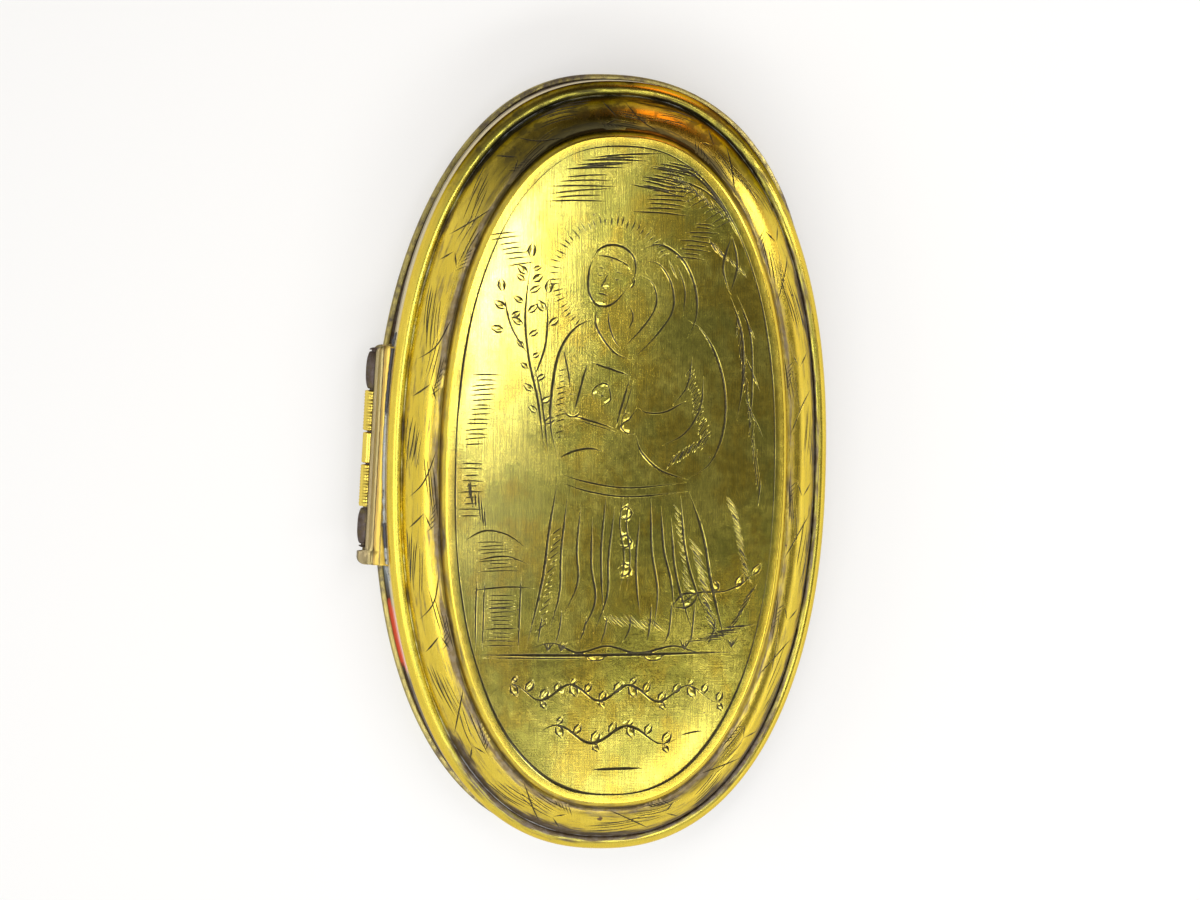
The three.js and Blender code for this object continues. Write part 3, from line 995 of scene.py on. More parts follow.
set_lid_normals()
plain_part = np.array([(x, y) for x, y, z in lid_points[:engraved_start]])
plain_inset, _, plain_run = inside_oval(plain_part)
lid_turn = 2 * math.pi * np.concatenate([plain_run, net_run]) / PERIMETER
set_attribute(lid, "groove", np.concatenate([np.zeros(engraved_start), net_share]))
set_attribute(lid, "inset", np.concatenate([plain_inset, net_inset]))
set_attribute(lid, "round_x", PERIMETER / (2 * math.pi) * np.cos(lid_turn))
set_attribute(lid, "round_y", PERIMETER / (2 * math.pi) * np.sin(lid_turn))

# %% [markdown]
# Below the lid the box is plain: a skirt that slips over the wall, and the wall itself. Both are
# strips bent round the oval and carry a slight ripple, as hand-bent sheet does.

# %% Skirt and wall
SKIRT_FACE = 0.05
SKIRT_SETBACK = 0.25
SKIRT_THICKNESS = 0.7
SLIP = 0.3
WALL_THICKNESS = 0.8
WALL_INSET = SKIRT_SETBACK + SKIRT_THICKNESS + SLIP


def strip_section(outer, inner, bottom, top, edge):
    """The section of a strip on edge, with its four corners taken off by edge."""
    return [
        (outer + edge, bottom), (outer, bottom + edge), (outer, top - edge), (outer + edge, top),
        (inner - edge, top), (inner, top - edge), (inner, bottom + edge), (inner - edge, bottom),
    ]


skirt_section = strip_section(SKIRT_FACE, SKIRT_SETBACK + SKIRT_THICKNESS, skirt_low.z, skirt_high.z, 0.08)
skirt = ring_piece("slip_skirt", skirt_section, "lid", "lid_brass", ["lid_skirt"], ripple=0.03, seed=1.7)
skirt_flat = np.array([vertex.co[:2] for vertex in skirt.data.vertices]) / MM
set_attribute(skirt, "inset", inside_oval(skirt_flat)[0])
wall_section = strip_section(WALL_INSET, WALL_INSET + WALL_THICKNESS, wall_low.z, wall_high.z, 0.1)
wall = ring_piece("bent_wall", wall_section, "case", "case_brass", ["body_wall"], ripple=0.04, seed=4.4)


# %% [markdown]
# The base plate has a rim that stands out past everything else and carries small nicks from the
# file. The base is not quite the oval of the lid: its rim is drawn in at one corner and out at
# another, which shows as an uneven edge round the lid from above.

# %% Base with its rim
RIM_OVERHANG = 0.25
RIM_WIDTH = 0.7
RIM_PINCH = (-1.5, 0.75, -0.05, 0.0)
RIM_HEIGHT = size_of("base_plate")[1].z
BASE_THICKNESS = wall_low.z
BASE_STEPS = 720
DISH_INSET = 3.2


def rim_pinch(shares):
    """How far the rim is drawn in, or out below zero, mostly halfway between ends and sides."""
    quarter = np.floor(shares * 4).astype(int) % 4
    return np.array(RIM_PINCH)[quarter] * np.sin(4 * np.pi * shares) ** 2


def rim_nick(x, y, height):
    """How deep the file has bitten here, in millimetres."""
    return 0.05 * max(0, swell(x, y, height, 0.9, 6.6)) + 0.04 * max(0, swell(x, y, height, 3.0, 2.2))


def base_plate():
    lip = RIM_WIDTH - RIM_OVERHANG
    out = -RIM_OVERHANG
    section = [
        (lip, 0, 0.5), (RIM_WIDTH, 0, 1), (0, 0, 1), (out, 0.22, 1), (out, RIM_HEIGHT - 0.3, 1),
        (out + 0.08, RIM_HEIGHT - 0.09, 1), (out + 0.26, RIM_HEIGHT, 1),
        (lip - 0.15, RIM_HEIGHT, 1), (lip, RIM_HEIGHT - 0.15, 1), (lip, BASE_THICKNESS, 1),
        (DISH_INSET, BASE_THICKNESS, 1), (DISH_INSET, BASE_THICKNESS, 0.5),
    ]
    shares = np.arange(BASE_STEPS) / BASE_STEPS
    edge, normals = oval(shares)
    edge = edge - normals * rim_pinch(shares)[:, None]
    points = [(0, 0, 0)]
    for inset, height, share in section:
        on_rim = height > 0.3 and inset < lip and share == 1
        for (x, y), (nx, ny) in zip(edge, normals):
            nick = rim_nick(x, y, height) if on_rim else 0.0
            step_in = inset + nick
            points.append(((x - nx * step_in) * share, (y - ny * step_in) * share, height - nick * 0.6))
    faces = disc_faces(len(section), BASE_STEPS)
    last = len(section) - 1
    for step in range(BASE_STEPS):
        here, after = (disc_index(last, k, BASE_STEPS) for k in (step, step + 1))
        faces.append((here, after, len(points)))
    points.append((0, 0, BASE_THICKNESS))
    return points, faces


base = new_piece("base_with_rim", *base_plate(), "case", "case_brass", ["base_plate"])
smooth(base)
base_flat = np.array([vertex.co[:2] for vertex in base.data.vertices]) / MM
base_heights = np.array([vertex.co.z for vertex in base.data.vertices]) / MM
base_inset, _, base_run = inside_oval(base_flat)
set_attribute(base, "inset", np.where(base_heights > 0.3, base_inset - rim_pinch(share_at(base_run)), 0.0))

# %% [markdown]
# The hinge sits a little askew on the long side. It is five short tubes on one wire, held in two
# bearers that are soldered to the skirt and to the wall. Its pieces are drawn by distances from
# the pin, and one function carries such a place to the joint that the frame gives.

# %% Place of the hinge
joint = frame["joints"][0]
PIN = Vector(joint["pos_m"]) / MM
pin_along = -Vector(joint["axis"]).normalized()
pin_across = pin_along.cross(Vector((0, 0, 1)))
HINGE_LENGTH = 29.5
TUBE_RADIUS = 1.05
TUBE_BORE = 0.6
TUBE_GAP = 0.25
TUBE_START = 0.9
TUBE_LENGTHS = [5.0, 5.4, 4.1, 5.6, 4.8]
print("pin at", [round(v, 2) for v in PIN], "along", [round(v, 3) for v in pin_along])


def at_hinge(across, along, up):
    place = PIN + pin_across * across + pin_along * along
    return (place.x, place.y, place.z + up)


def strip_distance(along, inset):
    """How far across from the pin the strip behind the hinge lies, at this place along it."""
    across = 2.0
    for _ in range(6):
        x, y, _ = at_hinge(across, along, 0)
        depth, _, _ = inside_oval(np.array([[x, y]]))
        across += inset - depth[0]
    return across


# %% [markdown]
# A bearer is a thick strip with a long hollow in which the tubes lie. Its back follows the curve
# of the box, so it is lofted from one cross-section to the next along the hinge, and its ends are
# rounded by drawing the outer lip back. At its low end the lid's bearer fills the hollow and
# reaches out past the pin in a short lug.

# %% Hinge bearers
BEARER_CLEARANCE = 0.3
LIP = 0.5
PARTING = 0.15
END_RADIUS = 1.0
LUG_START = 12.75
LUG_REACH = 1.0
LUG_RISE = 0.25
BEARER_SINK = 0.06
CASE_BEARER_DROP = 3.6


def end_rounding(along):
    """How far the lip is drawn back at this place along the hinge."""
    into = max(0.0, abs(along) - (HINGE_LENGTH / 2 - END_RADIUS)) / END_RADIUS
    return END_RADIUS * (1 - math.sqrt(max(0.0, 1 - into * into)))


def lug_share(along):
    """1 where the low end of the lid's bearer reaches out past the pin, 0 along the tubes."""
    return min(1.0, max(0.0, (-along - LUG_START) / LUG_RISE))


def bearer_stations():
    """Places along the hinge for the cross-sections, closer together at the ends and at the lug."""
    end = HINGE_LENGTH / 2
    return np.concatenate([
        [-end], np.linspace(-end + 0.05, -end + 1, 7), [-LUG_START - LUG_RISE, -LUG_START],
        np.linspace(-LUG_START + 0.6, end - 1.6, 45), np.linspace(end - 1, end - 0.05, 7), [end],
    ])


# %% [markdown]
# The two bearers share the hollow, and differ where it ends. The lid's has a low bead along its
# top, and the case's reaches down the wall with a thin foot. Each section is a row of places
# across from the pin and up from it.

# %% Loft the bearers
def lid_bearer_top(back, top, lip, wear):
    return [
        (back, top + 0.30), (back - 0.12, top + 0.38), (1.22 + lip * 0.3, top + 0.36 + wear),
        (1.08 + lip * 0.3, top + 0.28), (1.04 + lip * 0.3, top + 0.02), (0.62 + lip * 0.5, top - 0.06),
        (0.45 + lip * 0.6, top + 0.03), (0.12 + lip, top), (lip, top - 0.12),
    ]


def case_bearer_foot(back, top, lip):
    return [
        (back, -CASE_BEARER_DROP), (back - 1.0, -CASE_BEARER_DROP),
        (back - 1.2, -CASE_BEARER_DROP + 0.2), (back - 1.2, -top - 0.2),
        (back - 1.4, -top), (1.0, -top), (0.45 + lip * 0.6, -top), (0.12 + lip, -top), (lip, -top + 0.12),
    ]


def bearer(name, side, back_inset, body, replaced):
    """side is 1 for the lid's bearer, above the pin, and -1 for the case's, below it."""
    hollow = TUBE_RADIUS + BEARER_CLEARANCE
    rows = []
    for along in bearer_stations():
        back = strip_distance(along, back_inset - BEARER_SINK)
        wear = 0.04 * swell(0, along, side, 2.2, 5.0)
        lip = end_rounding(along) + 0.05 * swell(along, 0, side, 1.5, 9.0)
        lug = lug_share(along) if side > 0 else 0.0
        lip -= lug * LUG_REACH
        row = []
        for angle in np.linspace(90, 8, 9):
            a = math.radians(angle)
            across = max(hollow * math.cos(a), lip)
            up = max(hollow * math.sin(a), PARTING)
            filled = lip + (hollow - lip) * (90 - angle) / 82
            row.append((across + (filled - across) * lug, side * (up + (0.5 - up) * lug)))
        row.append((back, side * PARTING))
        top = hollow + LIP + wear
        row += lid_bearer_top(back, top, lip, wear) if side > 0 else case_bearer_foot(back, top, lip)
        rows.append([at_hinge(across, along, up) for across, up in row])
    if side < 0:
        rows = rows[::-1]
    piece = new_piece(name, *skin(rows[::-1], False), body, "hinge_brass", replaced)
    smooth(piece, 40)
    set_attribute(piece, "across", [(vertex.co / MM - PIN).dot(pin_across) for vertex in piece.data.vertices])
    return piece


lid_bearer = bearer("lid_bearer", 1, SKIRT_SETBACK, "lid", ["lid_hinge_plate"])
case_bearer = bearer("case_bearer", -1, WALL_INSET, "case", ["body_hinge_plate"])


# %% [markdown]
# The tubes are short cuts of brass tube. The three in the middle are bright, and two of them have
# fine ridges across them from the file. The end ones are black with age and worn to a lens shape.

# %% Hinge tubes
WORN_TUBES = (0, 4)
RIDGED_TUBES = (1, 3)
MIDDLE_TUBE = 2


def lathe(name, profile, body, slot, replaced, steps=40):
    """A profile of (radius, along) points turned round the pin."""
    rows = []
    for i in range(steps):
        a = 2 * math.pi * i / steps
        across, up = math.cos(a), math.sin(a)
        rows.append([at_hinge(radius * across, along, radius * up) for radius, along in profile])
    piece = new_piece(name, *skin(rows, True), body, slot, replaced)
    smooth(piece, 40)
    return piece


def tube_profile(index):
    """Bore, end, outside and end again of one tube, as (radius, along) points."""
    before = TUBE_START + sum(TUBE_LENGTHS[:index]) + TUBE_GAP * index
    top = HINGE_LENGTH / 2 - before
    bottom = top - TUBE_LENGTHS[index]
    middle, half = (top + bottom) / 2, (top - bottom) / 2
    profile = [(TUBE_BORE, bottom)]
    for along in np.linspace(bottom, top, 91):
        share = (along - middle) / half
        radius = TUBE_RADIUS - 0.02
        if index in WORN_TUBES:
            radius -= 0.36 * abs(share) ** 3
        if index in RIDGED_TUBES:
            radius += 0.035 * math.sin(along * 15.0) + 0.012 * math.sin(along * 41.0) - 0.03
        if index == MIDDLE_TUBE:
            radius -= 0.08
        edge = max(0.0, abs(share) - 0.94) / 0.06
        profile.append((radius - 0.14 * edge ** 2, along))
    profile.append((TUBE_BORE, top))
    return profile


tubes = []
for index in range(5):
    is_lid = index % 2 == 1
    node = f"hinge_tube_{index + 1}_{'lid' if is_lid else 'body'}"
    tube_body = "lid" if is_lid else "case"
    tube_slot = "dark_brass" if index in WORN_TUBES else "hinge_brass"
    tubes.append(lathe(f"tube_{index + 1}", tube_profile(index), tube_body, tube_slot, [node]))


# %% [markdown]
# One wire runs through all five tubes, and its ends are hammered over into low domed heads.

# %% Pin
def pin_profile():
    """Both heads of the pin and the wire between them, as (radius, along) points."""
    tube_run = sum(TUBE_LENGTHS) + 4 * TUBE_GAP
    top = HINGE_LENGTH / 2 - TUBE_START + TUBE_GAP
    bottom = top - tube_run - 2 * TUBE_GAP
    head = [(0.001, 0.30), (0.25, 0.29), (0.5, 0.22), (0.68, 0.10), (0.72, 0.0), (0.4, 0.0)]
    lower = [(radius, bottom - out) for radius, out in head]
    upper = [(radius, top + out) for radius, out in reversed(head)]
    return lower + upper


pin = lathe("peened_pin", pin_profile(), "case", "dark_brass", ["hinge_pin"], 24)


# %% [markdown]
# Solder has crept out at both ends of the hinge, in small grey lumps on the skirt and the wall.
# Each lump is a ball pushed flat against its surface and made uneven by noise. A thin run of solder
# also lies in the corner behind the lid's bearer.

# %% Solder lumps
def lump(name, centre, size, body, seed):
    mesh = bmesh.new()
    bmesh.ops.create_icosphere(mesh, subdivisions=4, radius=1.0)
    for vertex in mesh.verts:
        direction = vertex.co.copy()
        rough = 1 + 0.35 * noise.noise(direction * 1.6 + Vector((seed, 0, 0)))
        rough += 0.12 * noise.noise(direction * 5.0 + Vector((0, seed, 0)))
        vertex.co = Vector(centre) + Vector(d * s * rough for d, s in zip(direction, size))
    points = [tuple(vertex.co) for vertex in mesh.verts]
    faces = [tuple(vertex.index for vertex in face.verts) for face in mesh.faces]
    mesh.free()
    piece = new_piece(name, points, faces, body, None)
    smooth(piece, 60)
    return piece


def solder_seam():
    """A thin uneven run of solder in the corner between the lid's bearer and the skirt."""
    rows = []
    for along in np.linspace(-HINGE_LENGTH / 2 + 0.2, HINGE_LENGTH / 2 - 0.2, 120):
        radius = 0.25 + 0.12 * swell(0, along, 0, 0.8, 2.0) + 0.10 * swell(0, along, 5, 3.0, 2.0)
        middle = strip_distance(along, -0.12)
        row = []
        for step in range(10):
            a = 2 * math.pi * step / 10
            row.append(at_hinge(middle + radius * math.cos(a), along, 2.42 + 1.2 * radius * math.sin(a)))
        rows.append(row)
    piece = new_piece("solder_seam", *skin(rows, False), "lid", None)
    smooth(piece, 60)
    return piece


LUMPS = [
    (0.35, 1.5, (0.45, 0.75, 0.8), "lid"),
    (1.4, 2.3, (0.3, 0.6, 0.5), "lid"),
    (0.5, -1.6, (0.55, 0.9, 1.0), "case"),
]
solder_places = []
for end in (1, -1):
    for number, (past, up, size, body) in enumerate(LUMPS):
        along = end * (HINGE_LENGTH / 2 + past)
        inset = SKIRT_SETBACK if body == "lid" else WALL_INSET
        centre = at_hinge(strip_distance(along, inset) - 0.1, along, up)
        solder_places.append((f"solder_{'top' if end > 0 else 'low'}_{number + 1}", centre, size, body))
solder = [lump(*place, seed=3.0 + number) for number, place in enumerate(solder_places)]
solder.append(solder_seam())


# %% [markdown]
# A Blender material is a web of shader nodes. Written out in full, every node and link would bury
# the idea, so a small helper adds a node, sets or links its inputs and hands back its output. With
# it, each finish below reads as a few short lines of arithmetic on colours and shares.

# %% Node helpers
class Wiring:
    """Adds shader nodes to one tree and joins them."""

    def __init__(self, tree):
        self.tree = tree

    def add(self, kind, inputs=None, **settings):
        node = self.tree.nodes.new(kind)
        for key, value in settings.items():
            setattr(node, key, value)
        for key, value in (inputs or {}).items():
            if isinstance(value, bpy.types.NodeSocket):
                self.tree.links.new(value, node.inputs[key])
            else:
                node.inputs[key].default_value = value
        return node

    def place(self, stretch=(1, 1, 1), turn_degrees=0.0):
        """Position on the piece in millimetres, stretched along the axes."""
        coordinates = self.add("ShaderNodeTexCoord").outputs["Object"]
        scale = tuple(1000.0 * value for value in stretch)
        spin = (0.0, 0.0, math.radians(turn_degrees))
        return self.add("ShaderNodeMapping", {
            "Vector": coordinates, "Rotation": spin, "Scale": scale,
        }).outputs[0]

    def axes(self, vector):
        return self.add("ShaderNodeSeparateXYZ", {0: vector}).outputs

    def noise(self, place, scale, detail=4.0, roughness=0.55):
        return self.add("ShaderNodeTexNoise", {
            "Vector": place, "Scale": scale, "Detail": detail, "Roughness": roughness,
        }).outputs["Fac"]

    def range(self, value, low, high, to_low=0.0, to_high=1.0):
        """A soft step: to_low where the value is at low, to_high where it is at high."""
        return self.add("ShaderNodeMapRange", {
            "Value": value, "From Min": low, "From Max": high, "To Min": to_low, "To Max": to_high,
        }, interpolation_type="SMOOTHSTEP").outputs[0]

    def work(self, operation, first, second):
        return self.add("ShaderNodeMath", {0: first, 1: second}, operation=operation).outputs[0]

    def plus(self, first, second):
        return self.work("ADD", first, second)

    def minus(self, first, second):
        return self.work("SUBTRACT", first, second)

    def times(self, first, second):
        return self.work("MULTIPLY", first, second)

    def most(self, first, second):
        return self.work("MAXIMUM", first, second)

    def gap(self, value, middle):
        return self.work("ABSOLUTE", self.minus(value, middle), 0.0)

    def between(self, operation, first, second):
        """A number from two vectors, such as their distance or their dot product."""
        return self.add("ShaderNodeVectorMath", {0: first, 1: second}, operation=operation).outputs["Value"]

    def mix(self, share, first, second):
        return self.add("ShaderNodeMix", {0: share, 6: first, 7: second}, data_type="RGBA").outputs[2]

    def attribute(self, name):
        return self.add("ShaderNodeAttribute", attribute_name=name, attribute_type="GEOMETRY").outputs["Fac"]


def material(name):
    made = bpy.data.materials.new(name)
    made.use_nodes = True
    made.node_tree.nodes.clear()
    return made, Wiring(made.node_tree)


# %% [markdown]
# Old brass shows many colours at once: yellow where hands rub it, gold and olive in patches, brown
# and grey where it has tarnished, nearly black where dirt stays. Solder adds a grey and an old
# stain a red. Some colours paint light and shade as well: on the lid's top end an amber reflection
# and a brown that is partly shade, a pale glint in its groove, and shade in recesses and creases.
# Each gets a name here, and soft noise mixes them later.

# %% Colours of brass, tarnish and solder
BRIGHT_BRASS = (0.80, 0.69, 0.12, 1)
GOLD_BRASS = (0.60, 0.43, 0.040, 1)
OLIVE_BRASS = (0.50, 0.46, 0.075, 1)
WARM_BRASS = (0.80, 0.59, 0.070, 1)
STREAK_BRASS = (0.26, 0.22, 0.04, 1)
DULL_BRASS = (0.23, 0.185, 0.115, 1)
ORANGE_BRASS = (0.42, 0.27, 0.07, 1)
# Amber is a painted reflection on the lid's top end; the brown there is partly painted shade.
PAINTED_AMBER_REFLECTION = (0.50, 0.28, 0.03, 1)
BROWN_TARNISH_AND_SHADE = (0.11, 0.08, 0.014, 1)
PALE_GOLD = (0.52, 0.38, 0.08, 1)
# Tarnish colours; they also paint the shade of the recess, the low skirt and the bearers' creases.
DARK_TARNISH_AND_SHADE = (0.085, 0.060, 0.048, 1)
GREY_TARNISH_AND_SHADE = (0.14, 0.115, 0.105, 1)
PURPLE_TARNISH = (0.050, 0.042, 0.072, 1)
SOOT = (0.040, 0.036, 0.020, 1)
GROOVE_DIRT = (0.030, 0.025, 0.016, 1)
PIT = (0.07, 0.03, 0.035, 1)
# Pale bluish colour for a painted highlight along the lid's groove.
GROOVE_GLINT = (0.72, 0.75, 0.80, 1)
BLUE_TIN = (0.36, 0.44, 0.46, 1)
SOLDER_TIN = (0.36, 0.38, 0.38, 1)
SOLDER_BLACK = (0.06, 0.06, 0.075, 1)
RED_STAIN = (0.80, 0.12, 0.055, 1)
PALE_PINK = (0.92, 0.50, 0.42, 1)
WHITE = (1, 1, 1, 1)

# %% [markdown]
# Every brass finish starts the same way. Wide noise gives the patches and fine noise the tarnish,
# and noise that is stretched along one direction gives the lines of rubbing. They are kept with
# the colour in one place, because each later step bends them to its own use.

# %% Rubbed brass
TINT_SHARE = 0.75
CROSS_TURN = 24.0


class Finish:
    """One finish in the making: its nodes, its noises, its colour and its share of tarnish and shade."""

    def __init__(self, name, turn):
        self.made, self.wire = material(name)
        wire = self.wire
        self.plain = wire.place()
        self.patches = wire.noise(self.plain, 0.13, 7.0, 0.64)
        self.fine = wire.noise(self.plain, 0.9, 6.0, 0.68)
        self.grain = wire.noise(self.plain, 5.0, 3.0, 0.6)
        self.brushed = wire.noise(wire.place((5.0, 0.13, 1.0), turn), 1.3, 5.0, 0.72)
        self.crossed = wire.noise(wire.place((0.25, 6.0, 1.0), turn - CROSS_TURN), 1.3, 4.0, 0.7)
        self.golden = wire.noise(wire.place((1, 0.7, 1), 50), 0.19, 7.0, 0.65)
        self.top_end_tarnish_and_shade = None
        self.rougher = []
        self.coat = 0.0


def rub(finish, tint):
    """Yellow metal in gold and olive patches, streaked by rubbing, with a tint over all of it."""
    wire = finish.wire
    colour = wire.mix(wire.range(finish.patches, 0.41, 0.58, 0.0, 0.90), BRIGHT_BRASS, OLIVE_BRASS)
    colour = wire.mix(wire.range(finish.golden, 0.44, 0.61, 0.0, 0.80), colour, GOLD_BRASS)
    rubbed = wire.plus(wire.times(finish.brushed, 0.85), wire.times(finish.crossed, 0.15))
    colour = wire.mix(wire.range(rubbed, 0.42, 0.60, 0.0, 0.60), colour, STREAK_BRASS)
    colour = wire.mix(wire.range(finish.grain, 0.50, 0.72, 0.0, 0.60), colour, STREAK_BRASS)
    finish.colour = wire.mix(TINT_SHARE, colour, tint) if tint else colour


def age(finish, dark):
    """How tarnished each place is; a darker piece has more and wider patches."""
    wire = finish.wire
    cloud = wire.plus(wire.times(finish.patches, 0.55), wire.times(finish.fine, 0.45))
    finish.patina = wire.range(cloud, 0.66 - 0.35 * dark, 0.84 - 0.35 * dark, 0.0, min(1.0, 0.35 + dark))


# %% [markdown]
# Tarnish and pits lie over the metal. A Voronoi pattern scatters the pits: each cell rolls its own
# odds, only some cells get a pit, and a little noise keeps the pits from being true circles.

# %% Tarnish and pits
def pits(wire, plain, scale, share, size):
    """1 in small round pits; only this share of the cells has one, and their sizes differ."""
    cells = wire.add("ShaderNodeTexVoronoi", {"Vector": plain, "Scale": scale}).outputs
    odds = wire.add("ShaderNodeSeparateColor", {0: cells["Color"]}).outputs[0]
    radius = wire.range(odds, 1 - share, 1.0, 0.0, size)
    wobble = wire.times(wire.noise(plain, 4.0, 2.0), 0.08)
    return wire.range(wire.minus(wire.minus(radius, cells["Distance"]), wobble), -0.06, -0.02)


def tarnish_shade_and_pit(finish):
    wire = finish.wire
    grey = wire.range(finish.fine, 0.4, 0.6)
    if finish.top_end_tarnish_and_shade is not None:
        grey = wire.times(grey, wire.minus(1.0, finish.top_end_tarnish_and_shade))
    tarnish = wire.mix(grey, DARK_TARNISH_AND_SHADE, GREY_TARNISH_AND_SHADE)
    if finish.top_end_tarnish_and_shade is not None:
        tarnish = wire.mix(finish.top_end_tarnish_and_shade, tarnish, SOOT)
    # Where the share holds painted shade, in the recess and low on the skirt, this mix paints the shade.
    colour = wire.mix(finish.patina, finish.colour, tarnish)
    large = pits(wire, finish.plain, 0.16, 0.30, 0.075)
    small = pits(wire, finish.plain, 0.55, 0.16, 0.07)
    finish.spots = wire.most(large, small)
    finish.colour = wire.mix(wire.times(finish.spots, 0.9), colour, PIT)
    finish.metal = wire.minus(1.0, wire.times(finish.spots, 0.5))


# %% [markdown]
# On the lid, tarnish sits where a cloth can't reach: in the groove and at the foot of the step.
# Round the top end it is mottled, and the same place also gets painted shade. The attributes that
# were stored with the mesh say how far each place is from the edge and how far round it is, so
# that streaks can follow the oval.

# %% Tarnish in the rings of the lid
def near_inset(wire, inset, middle, reach, ragged):
    """1 along a ring of the lid, fading to 0 at this reach to either side."""
    return wire.range(wire.plus(wire.gap(inset, middle), ragged), 0.0, reach, 1.0, 0.0)


def ring_tarnish(finish):
    """Dark tarnish in the lid's groove, at the step's foot and at the top end, whose mask also paints shade.
    """
    wire, inset = finish.wire, finish.inset
    x, y, _ = wire.axes(finish.plain)
    around = wire.add("ShaderNodeCombineXYZ", {
        0: wire.attribute("round_x"), 1: wire.attribute("round_y"), 2: wire.times(inset, 12.0),
    }).outputs[0]
    finish.streaks = wire.noise(around, 0.24, 6.0, 0.62)
    slow = wire.noise(around, 0.07, 3.0, 0.5)
    ragged = wire.times(wire.minus(wire.plus(finish.streaks, slow), 1.0), 2.6)
    left_side = wire.range(x, -16.0, -27.0, 0.0, 0.75)
    low_end = wire.range(y, -28.0, -42.0, 0.0, 0.40)
    ragged_groove = wire.minus(wire.plus(ragged, left_side), low_end)
    groove = near_inset(wire, inset, BEAD_WIDTH - 0.05, 0.95, ragged_groove)
    right_side = wire.range(x, 14.0, 24.0, 0.0, 0.50)
    foot = near_inset(wire, inset, FOOT_INSET - 0.45, 1.25, wire.plus(ragged, right_side))
    rings = wire.most(wire.times(groove, 0.95), wire.times(foot, 0.90))
    from_groove = wire.range(inset, BEAD_WIDTH, BEAD_WIDTH + 0.4)
    band = wire.times(from_groove, wire.range(inset, FOOT_INSET, FOOT_INSET + 0.2, 1.0, 0.0))
    stripes = wire.times(band, wire.range(finish.streaks, 0.50, 0.72, 0.0, 0.62))
    round_part = wire.range(inset, PANEL_INSET - 0.5, PANEL_INSET - 0.1, 1.0, 0.0)
    # Mask of the top end, which carries its mottled tarnish and its painted shade.
    finish.top_end_tarnish_and_shade = wire.times(wire.range(y, 30.0, 45.0), round_part)
    sooty = wire.range(wire.noise(finish.plain, 0.35, 6.0, 0.65), 0.50, 0.60, 0.0, 0.6)
    return wire.most(wire.most(rings, stripes), wire.times(finish.top_end_tarnish_and_shade, sooty))


# %% [markdown]
# The round parts of the lid are warmer in colour than the panel. Its top end is brown, partly
# with age and partly as painted shade, with an amber painted reflection in the middle, and the
# bead is a little duller. The panel was polished last, so a thin clear coat gives it a second,
# sharper sheen.

# %% Colours of the lid
AMBER_REFLECTION_PLACE = (8.5, 47.5, 18.5)
CLEAR_COAT_SIDE = (-16.0, 2.0)


def colour_lid(finish):
    """Warm band, brown top end of age and painted shade, painted amber reflection, olive bead, panel sheen.
    """
    wire = finish.wire
    finish.inset = inset = wire.attribute("inset")
    rings = ring_tarnish(finish)
    off_panel = wire.range(inset, PANEL_INSET, PANEL_INSET + 1.0, 1.0, 0.0)
    colour = wire.mix(wire.times(off_panel, 0.75), finish.colour, WARM_BRASS)
    # Painted light on the top end: an amber painted reflection inside a brown that is partly painted shade.
    from_amber_reflection = wire.between("DISTANCE", finish.plain, AMBER_REFLECTION_PLACE)
    brown = wire.mix(wire.range(from_amber_reflection, 4.0, 10.0), PAINTED_AMBER_REFLECTION, BROWN_TARNISH_AND_SHADE)
    brown_and_shade_share = wire.times(finish.top_end_tarnish_and_shade, wire.range(finish.golden, 0.35, 0.65, 0.97, 0.75))
    colour = wire.mix(brown_and_shade_share, colour, brown)
    on_bead = wire.range(inset, BEAD_WIDTH + 0.3, BEAD_WIDTH - 0.1, 0.0, 1.0)
    dull = wire.times(on_bead, wire.range(inset, 0.5, 1.2))
    dull = wire.times(dull, wire.range(finish.streaks, 0.40, 0.60, 0.35, 0.9))
    finish.colour = wire.mix(dull, colour, OLIVE_BRASS)
    finish.patina = wire.most(finish.patina, rings)
    clear_side = wire.range(wire.axes(finish.plain)[0], *CLEAR_COAT_SIDE, 1.0, 0.25)
    finish.coat = wire.times(wire.range(inset, PANEL_INSET - 0.2, PANEL_INSET + 0.3), clear_side)
    bead_rougher = wire.range(inset, BEAD_WIDTH + 0.3, BEAD_WIDTH - 0.1, 0.0, 0.03)
    finish.rougher = [bead_rougher, wire.times(off_panel, 0.08)]


# %% [markdown]
# Last, the strokes. Their dirt is what makes an engraving readable, since the metal beside it is
# as bright as the metal in it. The depth that was stored with the mesh says where it goes.

# %% Dirt in the strokes
def fill_grooves(finish):
    """Painted highlight, pale and bluish, in parts of the groove by the bead; dirt in every engraved stroke.
    """
    wire = finish.wire
    # Painted highlight: a pale bluish colour in the groove by the bead stands for the glint of its edge.
    beside_bead = near_inset(wire, finish.inset, BEAD_WIDTH - 0.02, 0.14, 0.0)
    glint_share = wire.times(beside_bead, wire.range(finish.streaks, 0.45, 0.56))
    colour = wire.mix(wire.times(glint_share, 0.40), finish.colour, GROOVE_GLINT)
    strokes_deep = wire.range(wire.attribute("groove"), 0.07, 0.38)
    dirt = wire.times(strokes_deep, wire.range(finish.grain, 0.35, 0.60, 0.85, 1.0))
    finish.colour = wire.mix(dirt, colour, GROOVE_DIRT)
    finish.metal = wire.minus(finish.metal, wire.times(dirt, 0.5))
    finish.coat = wire.times(finish.coat, wire.minus(1.0, dirt))


# %% [markdown]
# The hinge bearers are dull beside the tubes and bright on top, in stripes along their length,
# because hands only rub the parts that stand up. Dark lines along their length, beside the tubes
# and in the creases, are painted shade. Noise moves each stripe a little to and fro.

# %% Stripes of the hinge bearers
CREASE_SHADE_LINES = ((0.35, 0.08, 0.3), (0.72, 0.06, 0.35), (1.06, 0.08, 0.8), (1.95, 0.16, 0.85))


